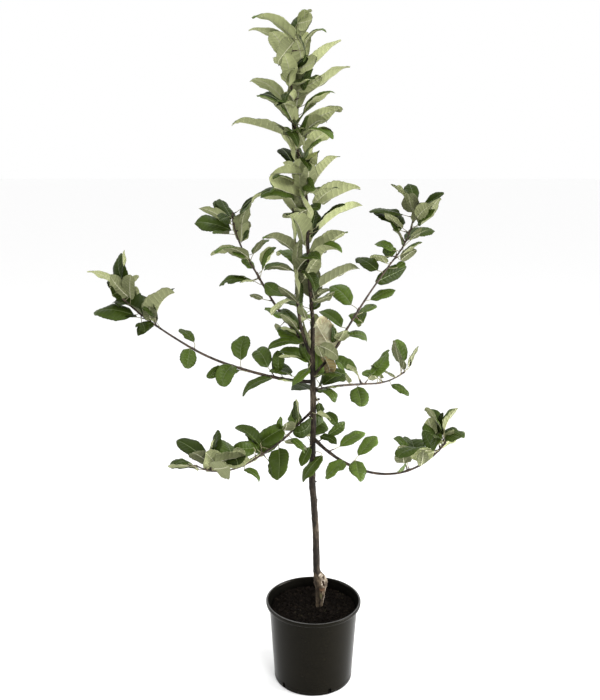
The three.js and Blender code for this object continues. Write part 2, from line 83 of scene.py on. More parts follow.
# ------------------------------------------------------------------ growth of the leaves
# What each node of a stem carries, from root to tip: millimetres along the stem (height on the leader), then the
# petiole's bearing, rise and length, the blade's bearing, rise, length and roll, and its form: width over length, fold
# of each half, bend from base to tip, twist and sideways sweep. Degrees and millimetres.
LEAVES = {
    "trunk": [
        (615, -11, -18, 25, -146, -45, 80, -5, 0.52, 15, 17, 16, 0.07),
        (633, -128, -6, 13, -121, -43, 54, -3, 0.53, 28, 22, -15, -0.03),
        (645, -149, 41, 20, -115, 42, 50, -13, 0.6, 12, 23, -3, -0),
        (656, 156, 22, 19, 52, 11, 68, 54, 0.74, 42, 93, 12, 0.04),
        (676, -180, 20, 31, 106, 31, 59, -62, 0.77, 42, 37, -10, -0.03),
        (702, -109, 18, 17, -141, -20, 59, -103, 0.72, 14, 98, 36, -0.1),
        (730, -10, -27, 31, -39, -34, 42, 26, 0.61, 44, 54, 24, -0.1),
        (774, 35, 14, 31, 38, 13, 71, 16, 0.72, 28, 52, 54, 0.04),
        (779, 37, -29, 19, -47, -17, 60, -2, 0.72, 5, 100, -27, -0.06),
        (822, -163, 70, 27, 123, 54, 55, -75, 0.57, 20, 52, -1, 0.05),
        (839, -121, -18, 20, -123, -20, 77, 3, 0.4, 20, 21, -2, -0.08),
        (841, 136, 8, 8, 168, 12, 84, -33, 0.44, 40, 31, 23, 0.1),
        (870, 169, 40, 29, 143, 21, 82, -23, 0.65, 21, 35, 39, -0.04),
        (882, -45, -13, 14, -14, -64, 74, -55, 0.72, 39, 47, 7, 0.01),
        (889, -49, -4, 23, -39, -22, 60, -94, 0.62, 11, 47, 10, 0.05),
        (896, -172, -12, 31, -157, -5, 82, -18, 0.4, 27, 62, -9, 0.01),
        (943, -139, 26, 24, -99, 35, 61, -23, 0.61, 11, -10, -41, 0.02),
        (990, 44, 12, 13, -119, 71, 97, 16, 0.62, 17, 11, 39, 0.07),
        (997, -31, 32, 19, -16, 24, 35, -41, 0.61, 14, 44, 16, 0.05),
        (1003, -75, -20, 28, -41, 21, 57, -19, 0.62, 15, -10, 8, 0.05),
        (1016, -36, 17, 23, 12, 24, 109, -33, 0.51, 50, 19, -6, -0.02),
        (1049, 162, 6, 15, 132, 22, 101, 1, 0.51, 34, 89, -6, 0.02),
        (1067, 16, 19, 30, -55, 24, 90, 31, 0.58, 59, 90, -60, 0.08),
        (1081, -51, 24, 13, -30, 38, 113, -32, 0.45, 55, 38, 20, -0.04),
        (1088, 176, 21, 26, -154, 26, 103, 19, 0.52, 46, 30, 7, -0.09),
        (1122, 167, 17, 11, -134, 49, 93, 17, 0.56, 60, 32, -2, -0.1),
        (1131, 36, 28, 16, 80, 38, 91, -6, 0.42, 31, 15, 40, -0.04),
        (1145, -8, 25, 27, -5, 30, 116, -21, 0.46, 46, 39, -14, -0.06),
        (1151, -30, 29, 26, -12, 39, 86, 2, 0.51, 32, 36, 11, 0.02),
        (1153, -133, 65, 14, -109, 61, 78, -7, 0.48, 53, 10, -49, -0.03),
        (1170, -137, 43, 31, -126, 37, 82, 21, 0.46, 27, 68, -11, -0.01),
        (1190, 110, -1, 21, 135, -7, 73, 28, 0.44, 20, 2, 19, -0),
        (1200, -47, 35, 26, -34, 30, 80, 11, 0.43, 53, 22, -28, 0.06),
        (1201, -20, 21, 18, -2, 23, 114, -44, 0.49, 60, 13, 24, 0),
        (1224, -117, 15, 26, -126, 15, 106, 65, 0.58, 60, 64, 40, 0.02),
        (1254, -1, 32, 28, -15, 43, 79, -16, 0.48, 59, 14, -9, 0.07),
        (1263, -120, -23, 30, -71, -34, 110, -62, 0.38, 38, -10, -56, -0.01),
        (1268, 7, 44, 31, -75, 58, 73, 46, 0.48, 49, 62, 20, -0.02),
        (1269, -5, -41, 26, 75, -24, 107, 4, 0.51, 17, 56, 12, 0.08),
        (1282, -84, 9, 17, -162, -1, 78, 37, 0.41, 60, 5, 3, 0.02),
        (1282, -55, -53, 23, -73, -11, 65, 59, 0.51, 46, 26, -5, -0.01),
        (1285, -70, 53, 30, -59, 37, 87, 55, 0.42, 29, 47, -24, 0.1),
        (1290, 50, 47, 9, 96, 26, 68, 23, 0.65, 52, 71, 26, -0.03),
        (1304, 139, 10, 24, 115, 17, 78, -20, 0.39, 20, 71, 14, 0.01),
        (1308, 153, 47, 28, -171, 46, 88, 4, 0.46, 35, 58, -15, 0.06),
        (1312, -60, 6, 24, -66, 19, 70, -87, 0.41, 55, 10, -57, -0.09),
        (1318, -37, 30, 19, -30, 34, 86, -15, 0.6, 34, 58, -39, -0.01),
        (1332, -65, -32, 22, -75, -25, 65, -32, 0.51, 25, 25, -13, 0.03),
        (1333, -117, 28, 10, -99, 34, 70, 2, 0.78, 53, 66, -6, -0.02),
        (1335, 151, 65, 22, 154, 24, 83, 36, 0.43, 32, 53, 13, -0.01),
        (1352, 32, 82, 14, 28, 84, 71, -56, 0.48, 29, 55, 6, 0.03),
        (1355, -88, 70, 21, -62, 32, 68, 59, 0.45, 4, -10, 20, 0.02),
        (1360, -41, 3, 16, 4, 38, 109, -42, 0.51, 47, 44, 36, -0.03),
        (1363, -38, 15, 19, -41, 21, 77, -29, 0.38, 60, 59, -23, 0.07),
        (1364, -132, 27, 25, -74, -22, 82, 0, 0.38, 15, 80, -39, 0.08),
        (1366, -155, 9, 31, -146, 8, 131, -3, 0.52, 43, 24, 40, 0.1),
        (1369, 19, 18, 28, 30, 27, 107, -13, 0.54, 35, 52, -19, -0.05),
        (1374, -39, -14, 23, -36, -5, 82, -1, 0.53, 37, 65, 4, 0.06),
        (1374, 28, 81, 14, -11, 47, 66, 5, 0.38, 29, 32, 0, -0),
        (1378, -28, 37, 27, -25, 19, 79, -62, 0.42, 22, 46, -60, -0.01),
        (1389, -95, 19, 8, -105, 32, 90, 21, 0.48, 60, 78, 70, 0.06),
        (1394, -1, 48, 30, -29, 28, 90, 7, 0.38, 25, 64, -7, 0.01),
        (1396, -131, 17, 17, -140, 29, 103, -18, 0.38, 32, 30, 25, 0.03),
        (1402, 5, -41, 28, -123, -69, 79, 77, 0.42, 51, 36, 10, 0.06),
        (1405, 23, 32, 27, -28, 35, 61, -28, 0.38, 21, 45, -31, 0.02),
        (1418, 51, 37, 11, -61, 58, 83, -14, 0.58, 49, 85, -39, -0.02),
        (1419, 177, 55, 26, -141, 22, 108, 11, 0.42, 32, 46, 15, -0),
        (1424, -16, 23, 31, -38, 20, 71, -2, 0.44, 4, 12, 1, -0.03),
        (1429, -76, -57, 29, -67, -47, 82, -58, 0.4, 17, -10, -60, 0.09),
        (1432, -73, 3, 18, -123, -3, 71, 3, 0.42, 44, 25, 23, 0),
        (1440, 160, -3, 24, 132, 13, 77, -24, 0.44, 31, 55, 11, -0.02),
        (1444, 1, 21, 31, 14, 32, 122, -29, 0.38, 47, 4, 7, 0),
        (1450, -33, 49, 20, -24, 26, 66, -93, 0.42, 41, 37, 16, -0),
        (1453, -82, -20, 27, -103, -6, 81, 15, 0.38, 46, 73, 34, -0.05),
        (1455, -20, 29, 27, -64, 39, 67, 100, 0.38, 38, 39, -3, 0.09),
        (1462, -109, 31, 20, -169, 76, 74, 40, 0.57, 32, 28, 69, -0.1),
        (1477, -41, 0, 15, -61, 8, 84, 10, 0.6, 34, -10, 22, -0.05),
        (1479, -149, 21, 16, -60, 31, 48, 15, 0.59, 56, 22, -6, 0.1),
        (1490, 1, 22, 29, -1, 41, 110, -8, 0.38, 57, -6, -26, -0.05),
        (1504, 13, 34, 31, 127, 56, 91, 110, 0.78, 25, 3, 56, -0.1),
        (1507, -58, 52, 9, -38, 21, 52, 46, 0.48, 6, 12, 62, -0.03),
        (1509, -11, 12, 11, -55, 15, 85, -110, 0.47, 12, 2, 15, -0.07),
        (1525, 140, -6, 19, 108, 10, 85, 53, 0.48, 20, 12, -44, 0.07),
        (1539, -128, -25, 15, -125, 38, 80, 16, 0.57, 28, 23, 25, -0.08),
        (1548, -83, 8, 22, -159, 19, 104, 12, 0.41, 45, 35, 0, -0.05),
        (1549, 14, 9, 31, -48, 23, 77, 23, 0.38, 23, 79, -25, 0),
        (1568, -67, 11, 17, -157, 22, 107, 11, 0.48, 42, 42, -13, -0.09),
        (1573, -7, 8, 15, -82, 42, 75, -39, 0.41, 18, 100, 65, 0.03),
        (1578, -80, -19, 31, -115, -35, 95, 76, 0.47, 52, -10, 26, -0.02),
        (1579, 45, 15, 9, 48, 46, 81, -4, 0.45, 49, 48, -30, -0.03),
        (1589, -51, -30, 17, -76, -44, 86, -70, 0.38, 27, 30, -6, 0.07),
        (1591, -50, 38, 24, -59, 3, 58, -110, 0.7, 31, -5, 10, -0.04),
    ],
    "second_leader": [
        (71, -144, 38, 22, -140, 38, 64, 10, 0.54, 8, 23, 2, -0.05),
        (80, 152, -28, 9, 121, 23, 90, 12, 0.57, 15, 54, -25, -0.08),
        (112, 28, 18, 31, 13, 36, 73, -1, 0.74, 24, 17, -60, -0.05),
        (124, 87, 20, 21, 110, 5, 80, -2, 0.54, 18, 30, -16, -0.01),
        (143, -91, 19, 16, -150, 38, 64, 17, 0.51, 11, 27, 11, 0.03),
        (156, 159, 9, 22, 140, 17, 76, -18, 0.54, 17, -10, -58, -0.1),
        (171, -130, -41, 26, -151, -30, 62, 43, 0.47, 33, 50, 50, 0.05),
        (177, -16, 54, 31, -12, 54, 64, -45, 0.56, 4, 7, -12, 0.02),
        (183, -77, 61, 23, -29, 84, 92, -3, 0.43, 30, 30, -26, -0.04),
        (202, -101, -14, 18, -81, -36, 61, -107, 0.43, 26, 30, -43, -0.03),
        (202, -78, 67, 20, -49, 24, 84, -1, 0.52, 51, 59, 62, 0.04),
        (207, 47, 30, 24, 50, 20, 92, 1, 0.5, 41, 57, -35, -0.02),
        (216, -136, 18, 21, -132, 6, 83, 16, 0.55, 22, 36, 17, 0),
        (220, 109, -13, 11, -170, 4, 70, -14, 0.46, 18, 72, -30, 0.01),
        (221, -16, -13, 27, -77, -19, 90, -18, 0.5, 37, 42, -47, 0.08),
        (223, -98, -28, 23, -83, -32, 92, -72, 0.55, 48, -10, -6, 0.02),
        (265, -106, 64, 27, -163, 76, 66, 2, 0.38, 36, 40, -8, -0.07),
        (351, -56, -12, 14, -52, 12, 80, 3, 0.58, 45, 35, 59, -0.1),
        (377, -78, 14, 16, -144, 7, 92, -13, 0.61, 14, 86, 7, -0.09),
        (379, -19, 21, 31, -66, 70, 92, 15, 0.56, 23, 18, 39, -0.09),
        (387, -9, 45, 29, -79, 75, 71, 7, 0.48, 44, 45, -46, 0.03),
        (407, 22, 46, 31, 100, 50, 76, 25, 0.5, 32, 45, -3, -0.01),
        (412, -52, 66, 23, 117, 29, 61, 77, 0.4, 53, 39, 43, -0.07),
        (414, -167, -4, 19, 175, -27, 80, 11, 0.39, 30, 33, 18, -0.04),
        (418, -53, 34, 10, -123, 7, 81, -13, 0.44, 32, 22, 21, -0.01),
    ],
    "bough_left_low": [
        (7, -51, 3, 23, -49, -3, 47, -47, 0.61, 24, 31, -17, 0.03),
        (49, 127, 82, 15, 122, 72, 43, 66, 0.51, 24, 1, 39, -0.01),
        (63, -76, 72, 19, -109, 80, 52, -85, 0.63, 4, -10, -10, -0),
        (91, -49, -22, 15, -42, -34, 48, -6, 0.68, 28, 38, -46, 0.02),
        (96, -110, 52, 24, -86, 37, 53, 4, 0.74, 8, 17, 60, -0.08),
        (106, 170, 30, 13, -178, -33, 71, -79, 0.57, 55, -2, 30, -0.03),
        (109, -175, 82, 14, 160, 85, 43, -8, 0.61, 4, -9, -15, -0.06),
        (111, 67, -24, 15, 6, -27, 58, -40, 0.68, 19, 50, 15, 0.08),
        (126, -79, -28, 16, -90, -36, 82, 18, 0.62, 38, 26, 16, -0.07),
        (152, 172, 20, 24, 150, 26, 77, -7, 0.5, 50, 48, -15, -0),
        (172, -165, 42, 17, 125, 21, 55, 22, 0.61, 10, 46, 66, -0.02),
        (172, -37, -40, 26, -53, -47, 46, -2, 0.57, 12, 20, 35, -0),
        (176, 92, 75, 31, 14, 27, 57, 66, 0.72, 60, 96, 19, -0.04),
        (193, 172, 81, 26, -151, 13, 52, -67, 0.7, 35, 50, -42, -0.08),
        (222, -128, 33, 23, -98, 64, 47, -4, 0.64, 17, 41, 4, -0),
        (226, -85, -24, 12, -37, -26, 48, -7, 0.7, 26, 52, -41, -0.08),
        (245, 132, 48, 25, 106, 9, 82, 4, 0.67, 22, 11, 63, 0),
        (274, -22, 64, 24, -74, 16, 75, 11, 0.64, 18, 43, 2, -0.1),
        (276, -137, 3, 11, -138, 52, 72, 51, 0.73, 8, -4, 70, -0.03),
        (311, 166, 69, 19, -138, 36, 62, 44, 0.64, 23, 44, 1, -0.01),
        (312, -49, 44, 12, -59, 22, 82, -56, 0.66, 5, -8, -16, -0.02),
        (312, 146, 55, 31, 154, 23, 82, -21, 0.56, 28, 20, -1, -0.01),
        (316, 46, 70, 30, 84, 49, 67, -43, 0.61, 14, -7, -15, 0.02),
        (325, 101, 66, 24, 29, 67, 52, -34, 0.56, 25, -10, -15, -0.05),
        (326, -3, 43, 23, -7, 10, 82, -64, 0.68, 14, 21, 5, 0.06),
        (326, 152, -7, 22, 153, -3, 61, 44, 0.61, 21, 37, -42, -0),
        (354, 124, -60, 11, 148, -2, 73, 3, 0.58, 16, 46, -60, -0.08),
        (358, -141, 8, 18, -145, 13, 52, 36, 0.58, 18, 10, 9, -0),
        (360, -127, 22, 19, -122, 18, 53, -8, 0.63, 28, 53, 2, -0),
    ],
    "bough_right_low": [
        (2, -21, 24, 19, -31, -15, 48, 14, 0.63, 28, 40, -14, -0.06),
        (17, 21, 31, 31, 15, 34, 53, 99, 0.54, 39, 41, -27, -0.02),
        (53, 16, 21, 31, 28, 17, 76, 19, 0.48, 17, 38, 8, -0.01),
        (102, -113, 45, 9, -139, -28, 65, -4, 0.72, 25, 43, 40, -0.01),
        (117, 14, 48, 31, 44, 28, 71, 4, 0.57, 25, 37, 31, 0.06),
        (125, -40, 68, 19, -80, -38, 58, -8, 0.77, 23, 2, -57, -0),
        (265, 150, 76, 30, 152, 57, 53, 1, 0.65, 33, 100, -15, 0.04),
        (266, 162, 61, 19, -120, 55, 66, 30, 0.67, 4, -8, 51, -0.06),
        (271, -132, 58, 26, -137, -22, 34, -100, 0.41, 34, 34, 6, -0.06),
        (301, -92, 16, 16, -90, 59, 52, 10, 0.53, 14, -10, -59, -0.02),
        (301, 126, 43, 19, 95, 18, 67, -3, 0.78, 42, 74, 30, -0.02),
        (342, 110, 61, 18, 103, 30, 61, -63, 0.63, 11, 20, -7, -0.01),
        (359, -153, 9, 31, -157, -4, 76, 20, 0.71, 23, 61, -60, -0.03),
        (359, 51, 10, 9, -2, 39, 67, -39, 0.63, 18, 23, -17, 0.02),
        (360, -136, 1, 17, 163, -17, 56, 79, 0.62, 12, 10, -3, 0.05),
        (364, 111, 62, 29, 97, 47, 69, 27, 0.62, 36, 39, 0, -0.01),
        (371, -145, 41, 23, -132, 37, 70, -32, 0.69, 40, 38, 3, 0),
        (373, 101, 71, 22, 72, 85, 56, -58, 0.61, 12, 49, -13, -0.02),
        (380, -66, 66, 20, -60, 48, 34, -35, 0.51, 15, -10, 21, 0.04),
        (381, 96, 61, 20, 42, 6, 47, -1, 0.62, 21, 21, 19, 0.04),
        (384, -178, 36, 31, -133, 59, 54, 42, 0.55, 27, 47, 39, 0.03),
        (385, -162, 53, 31, -112, -27, 56, 31, 0.57, 12, 23, 25, -0.02),
        (386, 107, 69, 31, -14, 68, 50, -20, 0.6, 10, 84, 43, 0.01),
        (387, 29, 82, 22, -69, 9, 63, 29, 0.7, 15, -7, -22, 0.04),
        (388, 109, 70, 26, 16, 59, 60, -51, 0.53, 47, 40, -35, -0.08),
        (389, -175, 71, 29, -179, 55, 67, 7, 0.69, 15, 21, 42, 0.04),
    ],
    "bough_left_mid": [
        (25, 163, 23, 28, -161, 16, 61, 5, 0.63, 20, 36, -25, -0.01),
        (31, -126, 8, 28, -150, 16, 44, 14, 0.66, 10, 28, 7, 0),
        (73, 141, 53, 22, 135, 85, 51, -25, 0.62, 23, 63, -21, -0.05),
        (93, 175, 56, 31, 120, 22, 70, -27, 0.64, 27, 65, -12, 0.07),
        (98, 102, 72, 16, 57, -8, 78, 41, 0.67, 35, -10, -18, -0.02),
        (104, -70, -5, 10, -154, -25, 85, -2, 0.57, 27, 45, 19, 0.04),
        (161, -170, 5, 20, 178, -19, 53, -13, 0.56, 21, 27, -7, 0),
        (180, 91, 66, 21, 74, 50, 65, 0, 0.73, 44, 4, 5, -0.1),
        (202, -84, 18, 10, -124, -49, 58, -24, 0.78, 40, 90, 1, 0.08),
        (219, -130, -15, 17, -148, -27, 44, -87, 0.59, 29, 36, 4, 0),
        (305, 97, 62, 19, 152, 32, 51, -4, 0.68, 22, 36, 1, 0.02),
        (315, -99, -2, 8, -96, -48, 55, -24, 0.75, 28, -1, -13, -0.01),
        (406, -164, 65, 17, 166, 65, 70, 33, 0.6, 26, 55, 4, 0.02),
        (416, -94, 55, 31, -115, 31, 56, -44, 0.54, 7, 49, -2, -0.02),
        (421, -72, 43, 8, 13, 55, 88, -18, 0.7, 60, 58, -19, 0.08),
        (423, -97, 40, 8, -131, -27, 54, -30, 0.56, 21, 67, 15, 0.05),
        (434, 49, 67, 27, 26, 43, 77, -18, 0.53, 15, 28, 34, -0),
        (438, -70, 14, 19, -78, 47, 57, 10, 0.59, 6, 28, -22, 0.02),
        (444, -160, 15, 28, 132, -6, 46, -6, 0.5, 15, 31, 8, -0),
        (447, 101, 2, 8, 158, 20, 98, -5, 0.78, 50, 24, -33, 0.07),
        (463, -78, -37, 26, -74, -9, 62, -4, 0.58, 6, 31, 19, -0.01),
        (469, 147, -18, 20, 169, 0, 106, -37, 0.51, 5, 39, 27, 0.04),
        (500, -3, 79, 16, -74, 62, 73, -52, 0.62, 4, -10, 20, 0.04),
        (515, 13, 49, 13, -142, 52, 73, 87, 0.69, 25, -3, 70, 0.06),
        (522, 59, 68, 30, 111, 59, 92, -53, 0.55, 13, 52, -23, -0.05),
        (523, 124, 35, 22, 129, 26, 57, 0, 0.58, 17, 30, 1, -0.02),
        (527, 131, 65, 29, -177, 26, 83, 38, 0.46, 25, 52, -8, -0.01),
        (528, -25, 48, 26, -36, 7, 43, -56, 0.64, 32, 9, -26, -0.02),
        (532, -107, 31, 22, -87, 5, 56, -48, 0.72, 32, 18, -25, -0.01),
        (534, 70, 20, 16, 22, 44, 57, -30, 0.62, 28, 40, -32, 0),
        (536, 20, 81, 31, -5, 82, 84, 16, 0.39, 4, 8, -42, 0.02),
    ],
    "bough_right_mid": [
        (2, -38, -60, 30, -50, -73, 36, 8, 0.64, 19, 16, -6, -0.02),
        (11, 31, 48, 14, 18, 61, 56, -7, 0.52, 4, 12, 1, 0.02),
        (13, -14, 13, 25, -38, 17, 44, -15, 0.55, 13, 26, -6, -0.04),
        (14, 140, -7, 22, 125, -3, 72, -1, 0.73, 10, 12, -35, 0.05),
        (38, 144, 52, 31, 92, 60, 71, -4, 0.66, 16, 34, -6, 0.07),
        (152, -120, 31, 14, -148, 56, 65, -12, 0.68, 35, 11, -60, -0.01),
        (177, -94, -27, 9, -82, -38, 62, 6, 0.78, 25, -10, -29, -0.05),
        (192, -173, 70, 27, -140, 45, 48, -5, 0.64, 22, 2, 48, -0.05),
        (197, 130, 53, 31, 160, 33, 70, -16, 0.62, 43, -10, -57, -0.03),
        (208, 1, 55, 30, 20, 51, 71, 25, 0.64, 12, -10, -39, 0.05),
        (258, -100, 73, 15, -107, 30, 52, 47, 0.66, 20, 48, -17, 0.02),
        (267, 24, 82, 21, 31, 68, 71, -13, 0.62, 29, 47, 8, -0),
        (274, -105, 63, 18, -120, 47, 60, -16, 0.64, 9, 8, -12, 0.02),
        (283, 155, 32, 29, 143, 1, 40, -47, 0.57, 24, 53, 8, 0),
        (304, -73, -20, 18, -8, -32, 56, 24, 0.57, 9, 47, -1, -0.07),
        (335, -129, 11, 12, -152, 35, 46, 9, 0.64, 24, 12, -25, 0),
        (348, -39, 69, 20, -92, 48, 46, -45, 0.5, 6, 14, 11, -0.04),
        (355, 160, 82, 31, -157, 72, 68, 7, 0.58, 14, -7, -19, -0),
        (366, -4, 56, 18, 19, 61, 64, -48, 0.57, 16, 24, 13, 0.02),
        (366, 32, 35, 23, 162, 85, 34, 21, 0.59, 26, 47, -7, -0.02),
        (368, 132, 70, 26, 124, 65, 66, -27, 0.65, 7, -7, -10, 0.04),
    ],
    "bough_right_high": [
        (0, -40, 15, 16, -35, 9, 65, -10, 0.68, 16, 25, 27, 0.01),
        (46, -114, 35, 26, -116, 48, 50, 6, 0.45, 12, 18, -1, 0),
        (71, -52, 14, 8, -167, 60, 91, 82, 0.76, 31, 98, 43, 0.03),
        (78, 92, 67, 19, 164, 85, 45, -29, 0.53, 18, 26, 44, 0.04),
        (82, 0, 70, 23, -79, 37, 58, -10, 0.63, 19, 9, 34, -0.08),
        (125, 96, -33, 16, 47, -15, 94, 19, 0.43, 22, 56, 70, 0.06),
        (139, 151, 14, 15, 138, 22, 77, -17, 0.49, 41, 34, -5, 0.05),
        (175, 20, -38, 29, 112, 8, 64, -32, 0.67, 25, 53, 33, 0.09),
        (182, 8, 11, 14, 48, 12, 55, 3, 0.62, 22, 27, 12, 0.01),
        (192, 151, 31, 23, 132, 23, 84, -39, 0.52, 10, 41, 6, 0.1),
        (195, 110, -40, 25, 77, -48, 51, 38, 0.55, 27, 41, 3, -0.01),
        (221, 28, -1, 16, 26, 15, 71, 20, 0.5, 8, 26, 16, 0.01),
        (277, 105, -19, 18, 27, 19, 94, 99, 0.46, 8, 7, 2, -0.03),
        (300, 173, 23, 16, 141, 21, 67, -26, 0.64, 21, 37, 18, 0.02),
        (317, -12, 3, 23, 50, 14, 34, 27, 0.59, 16, 36, 14, 0),
        (325, -149, 22, 12, -135, 29, 53, 7, 0.56, 23, 15, 0, -0.07),
        (340, -41, 33, 31, -27, 33, 52, -8, 0.58, 4, 35, 9, -0.02),
        (351, 173, -1, 29, 114, -19, 58, 15, 0.61, 17, 44, 19, -0.01),
        (352, 85, 40, 16, 140, -3, 40, -58, 0.75, 17, 9, -59, -0.08),
        (353, 39, -38, 19, 1, 33, 45, -89, 0.59, 42, 42, 24, 0.06),
        (365, 178, 14, 15, 147, 12, 53, -33, 0.53, 34, 59, 17, 0.05),
        (373, 25, -11, 12, -10, 27, 44, 9, 0.65, 15, 24, -4, -0.01),
        (380, -35, 41, 25, -34, 31, 53, -4, 0.65, 26, 31, 15, -0),
        (382, 97, 11, 14, 103, 23, 69, 57, 0.58, 37, 32, -31, -0.01),
        (390, 158, 62, 31, 129, 50, 42, -33, 0.62, 14, 24, -5, 0.06),
        (397, 32, 27, 15, -38, 42, 40, -110, 0.51, 45, 19, -26, -0.02),
        (402, 99, -8, 21, 28, 10, 90, 13, 0.59, 18, 43, 17, -0.04),
        (416, -153, 20, 31, 130, 28, 94, -3, 0.78, 35, 17, -7, 0.02),
        (416, -153, 35, 24, -149, 35, 67, 12, 0.47, 25, -10, 18, -0.05),
        (423, -38, 36, 26, -42, 37, 59, 40, 0.68, 17, 31, -5, -0.07),
        (432, -20, 15, 21, -44, 51, 87, -18, 0.55, 33, 9, 27, -0.03),
        (434, -59, 55, 12, -26, 56, 55, -35, 0.59, 35, 36, -59, -0.01),
        (438, -65, 38, 29, -60, 32, 59, -63, 0.6, 4, -10, -59, 0.06),
        (451, -100, 45, 31, -112, 42, 62, -44, 0.49, 6, -10, 48, 0.02),
        (455, 179, 14, 26, -156, 6, 91, -6, 0.55, 4, 40, -1, 0.04),
        (463, -75, 31, 8, -119, 41, 72, 34, 0.58, 25, 22, 21, -0.01),
        (468, -2, 31, 29, -30, 33, 58, 39, 0.56, 45, 4, 18, 0.04),
        (476, 88, 75, 15, 101, 42, 63, 21, 0.64, 12, 23, -51, -0),
        (477, -132, 49, 22, -141, 43, 58, -12, 0.63, 13, 8, 3, -0),
        (478, 147, 57, 22, 150, 36, 62, 23, 0.58, 18, 34, 9, -0),
    ],
    "bough_left_high": [
        (79, -93, 3, 12, -127, 24, 59, -2, 0.54, 10, 17, 31, -0.04),
        (116, 136, -40, 27, 109, -23, 39, 51, 0.6, 19, 33, 8, 0.01),
        (137, -104, 20, 19, -100, 4, 65, -26, 0.78, 13, 15, -3, 0.06),
        (172, -171, 15, 26, -150, 21, 37, 37, 0.58, 7, 20, -9, -0.05),
        (221, 164, 16, 24, 158, 6, 57, 23, 0.61, 14, 36, 8, 0.02),
        (236, -138, -7, 20, -169, -7, 34, 24, 0.59, 12, 45, -5, 0),
        (237, -171, -10, 28, 157, -13, 82, -25, 0.42, 26, 45, -36, 0.03),
        (238, -20, 70, 22, 4, 58, 64, 10, 0.56, 7, 79, 23, 0.05),
        (247, 24, 45, 24, -33, 63, 55, -8, 0.68, 35, 54, -44, -0.03),
        (265, 102, -11, 9, 128, 32, 51, -4, 0.56, 10, -8, -24, -0),
        (275, -137, 47, 28, 176, 21, 34, -15, 0.62, 4, 28, -3, -0.01),
        (285, -26, 62, 23, -28, 51, 46, -11, 0.54, 10, 29, -16, -0.02),
        (296, -69, 0, 14, -150, 12, 93, 32, 0.48, 12, 81, -59, -0.08),
        (300, 8, 25, 16, 44, 29, 61, -7, 0.58, 22, 38, 4, 0.01),
        (315, 107, -4, 20, -177, -8, 76, 31, 0.57, 25, 64, -1, -0),
        (334, -68, 32, 20, -43, 48, 35, 55, 0.61, 27, 24, 46, -0),
        (341, -45, 11, 8, -90, 83, 70, 8, 0.59, 53, 94, 65, -0.05),
        (359, -140, 10, 23, -142, 5, 46, 4, 0.69, 49, -9, -32, -0.01),
        (365, -24, 52, 26, -37, 60, 63, 0, 0.6, 4, 32, 60, -0),
        (372, 117, -6, 23, 168, 10, 94, -37, 0.54, 20, 52, -38, -0.04),
        (382, -150, 31, 10, -178, 27, 85, 53, 0.39, 36, 68, -15, 0.07),
        (388, 22, 42, 28, 54, 36, 70, -14, 0.47, 20, 40, -5, -0.01),
        (391, 129, 19, 14, 136, 38, 71, 3, 0.62, 13, 16, 1, -0.01),
        (397, 106, 16, 8, 121, 35, 73, 19, 0.72, 13, 5, 10, -0.06),
        (398, -116, 26, 18, -107, -4, 62, -53, 0.57, 7, -2, 17, 0.02),
        (402, 31, -16, 14, 67, -33, 58, 1, 0.63, 21, 64, 2, 0.02),
        (409, 23, 30, 28, 5, 24, 94, 10, 0.44, 18, 57, -42, -0.03),
    ],
    "bough_back": [
        (22, -153, -9, 23, -164, 9, 64, 16, 0.58, 32, 8, 38, -0),
        (42, -108, 10, 30, -148, 76, 76, -7, 0.48, 31, -2, -14, 0.01),
        (61, -46, 82, 25, -78, 68, 56, -45, 0.55, 15, 26, -12, -0.04),
        (151, 172, 15, 20, -178, 8, 60, 31, 0.64, 18, 45, -31, -0.02),
        (152, 108, -58, 18, 143, -45, 55, 11, 0.6, 15, 54, -25, -0.01),
        (293, -110, 61, 28, -99, 77, 67, 6, 0.59, 16, 32, 8, -0.02),
    ],
}
# Sprays: from this place along the stem on, the leaves take this shade above and below (0 dark to 4 light). A shade is
# partly the leaves' own tone and partly painted shade and light: darker for sprays that sit in shade, lighter for those
# in the light.
SPRAYS = {
    "trunk": ((615, 2, 2), (676, 2, 2), (730, 2, 2), (779, 3, 2), (839, 4, 0), (889, 2, 1), (943, 4, 1), (990, 2, 0), (1049, 4, 2), (1122, 0, 3), (1170, 2, 2), (1224, 4, 4), (1269, 3, 4), (1304, 0, 4), (1333, 2, 4), (1363, 1, 2), (1374, 4, 4), (1402, 3, 4), (1429, 0, 3), (1453, 1, 4), (1490, 0, 4), (1539, 4, 4), (1578, 0, 2),),
    "second_leader": ((71, 4, 1), (112, 4, 0), (156, 4, 1), (202, 2, 0), (221, 1, 4), (265, 4, 4), (351, 2, 1), (387, 3, 4),),
    "bough_left_low": ((7, 3, 4), (49, 0, 3), (91, 3, 0), (126, 2, 2), (172, 2, 2), (222, 4, 2), (274, 0, 2), (311, 1, 0), (326, 2, 2),),
    "bough_right_low": ((2, 1, 2), (53, 4, 2), (102, 4, 2), (265, 3, 0), (301, 2, 0), (342, 2, 3), (371, 1, 2), (385, 2, 2),),
    "bough_left_mid": ((25, 2, 4), (73, 2, 2), (161, 3, 2), (202, 3, 2), (305, 2, 2), (406, 1, 0), (438, 1, 0), (500, 1, 1), (528, 0, 3),),
    "bough_right_mid": ((2, 1, 2), (38, 4, 2), (152, 3, 2), (192, 3, 4), (258, 4, 0), (304, 2, 2), (348, 4, 0),),
    "bough_right_high": ((0, 2, 2), (46, 1, 1), (82, 2, 0), (125, 3, 2), (175, 4, 2), (221, 4, 2), (277, 1, 2), (317, 4, 2), (353, 4, 0), (390, 2, 2), (423, 2, 1), (455, 2, 0), (478, 2, 4),),
    "bough_left_high": ((79, 3, 4), (116, 4, 2), (172, 2, 0), (221, 3, 4), (265, 4, 1), (315, 1, 2), (359, 2, 1), (391, 1, 2),),
    "bough_back": ((22, 2, 3), (61, 2, 4), (151, 2, 2), (293, 2, 3),),
}


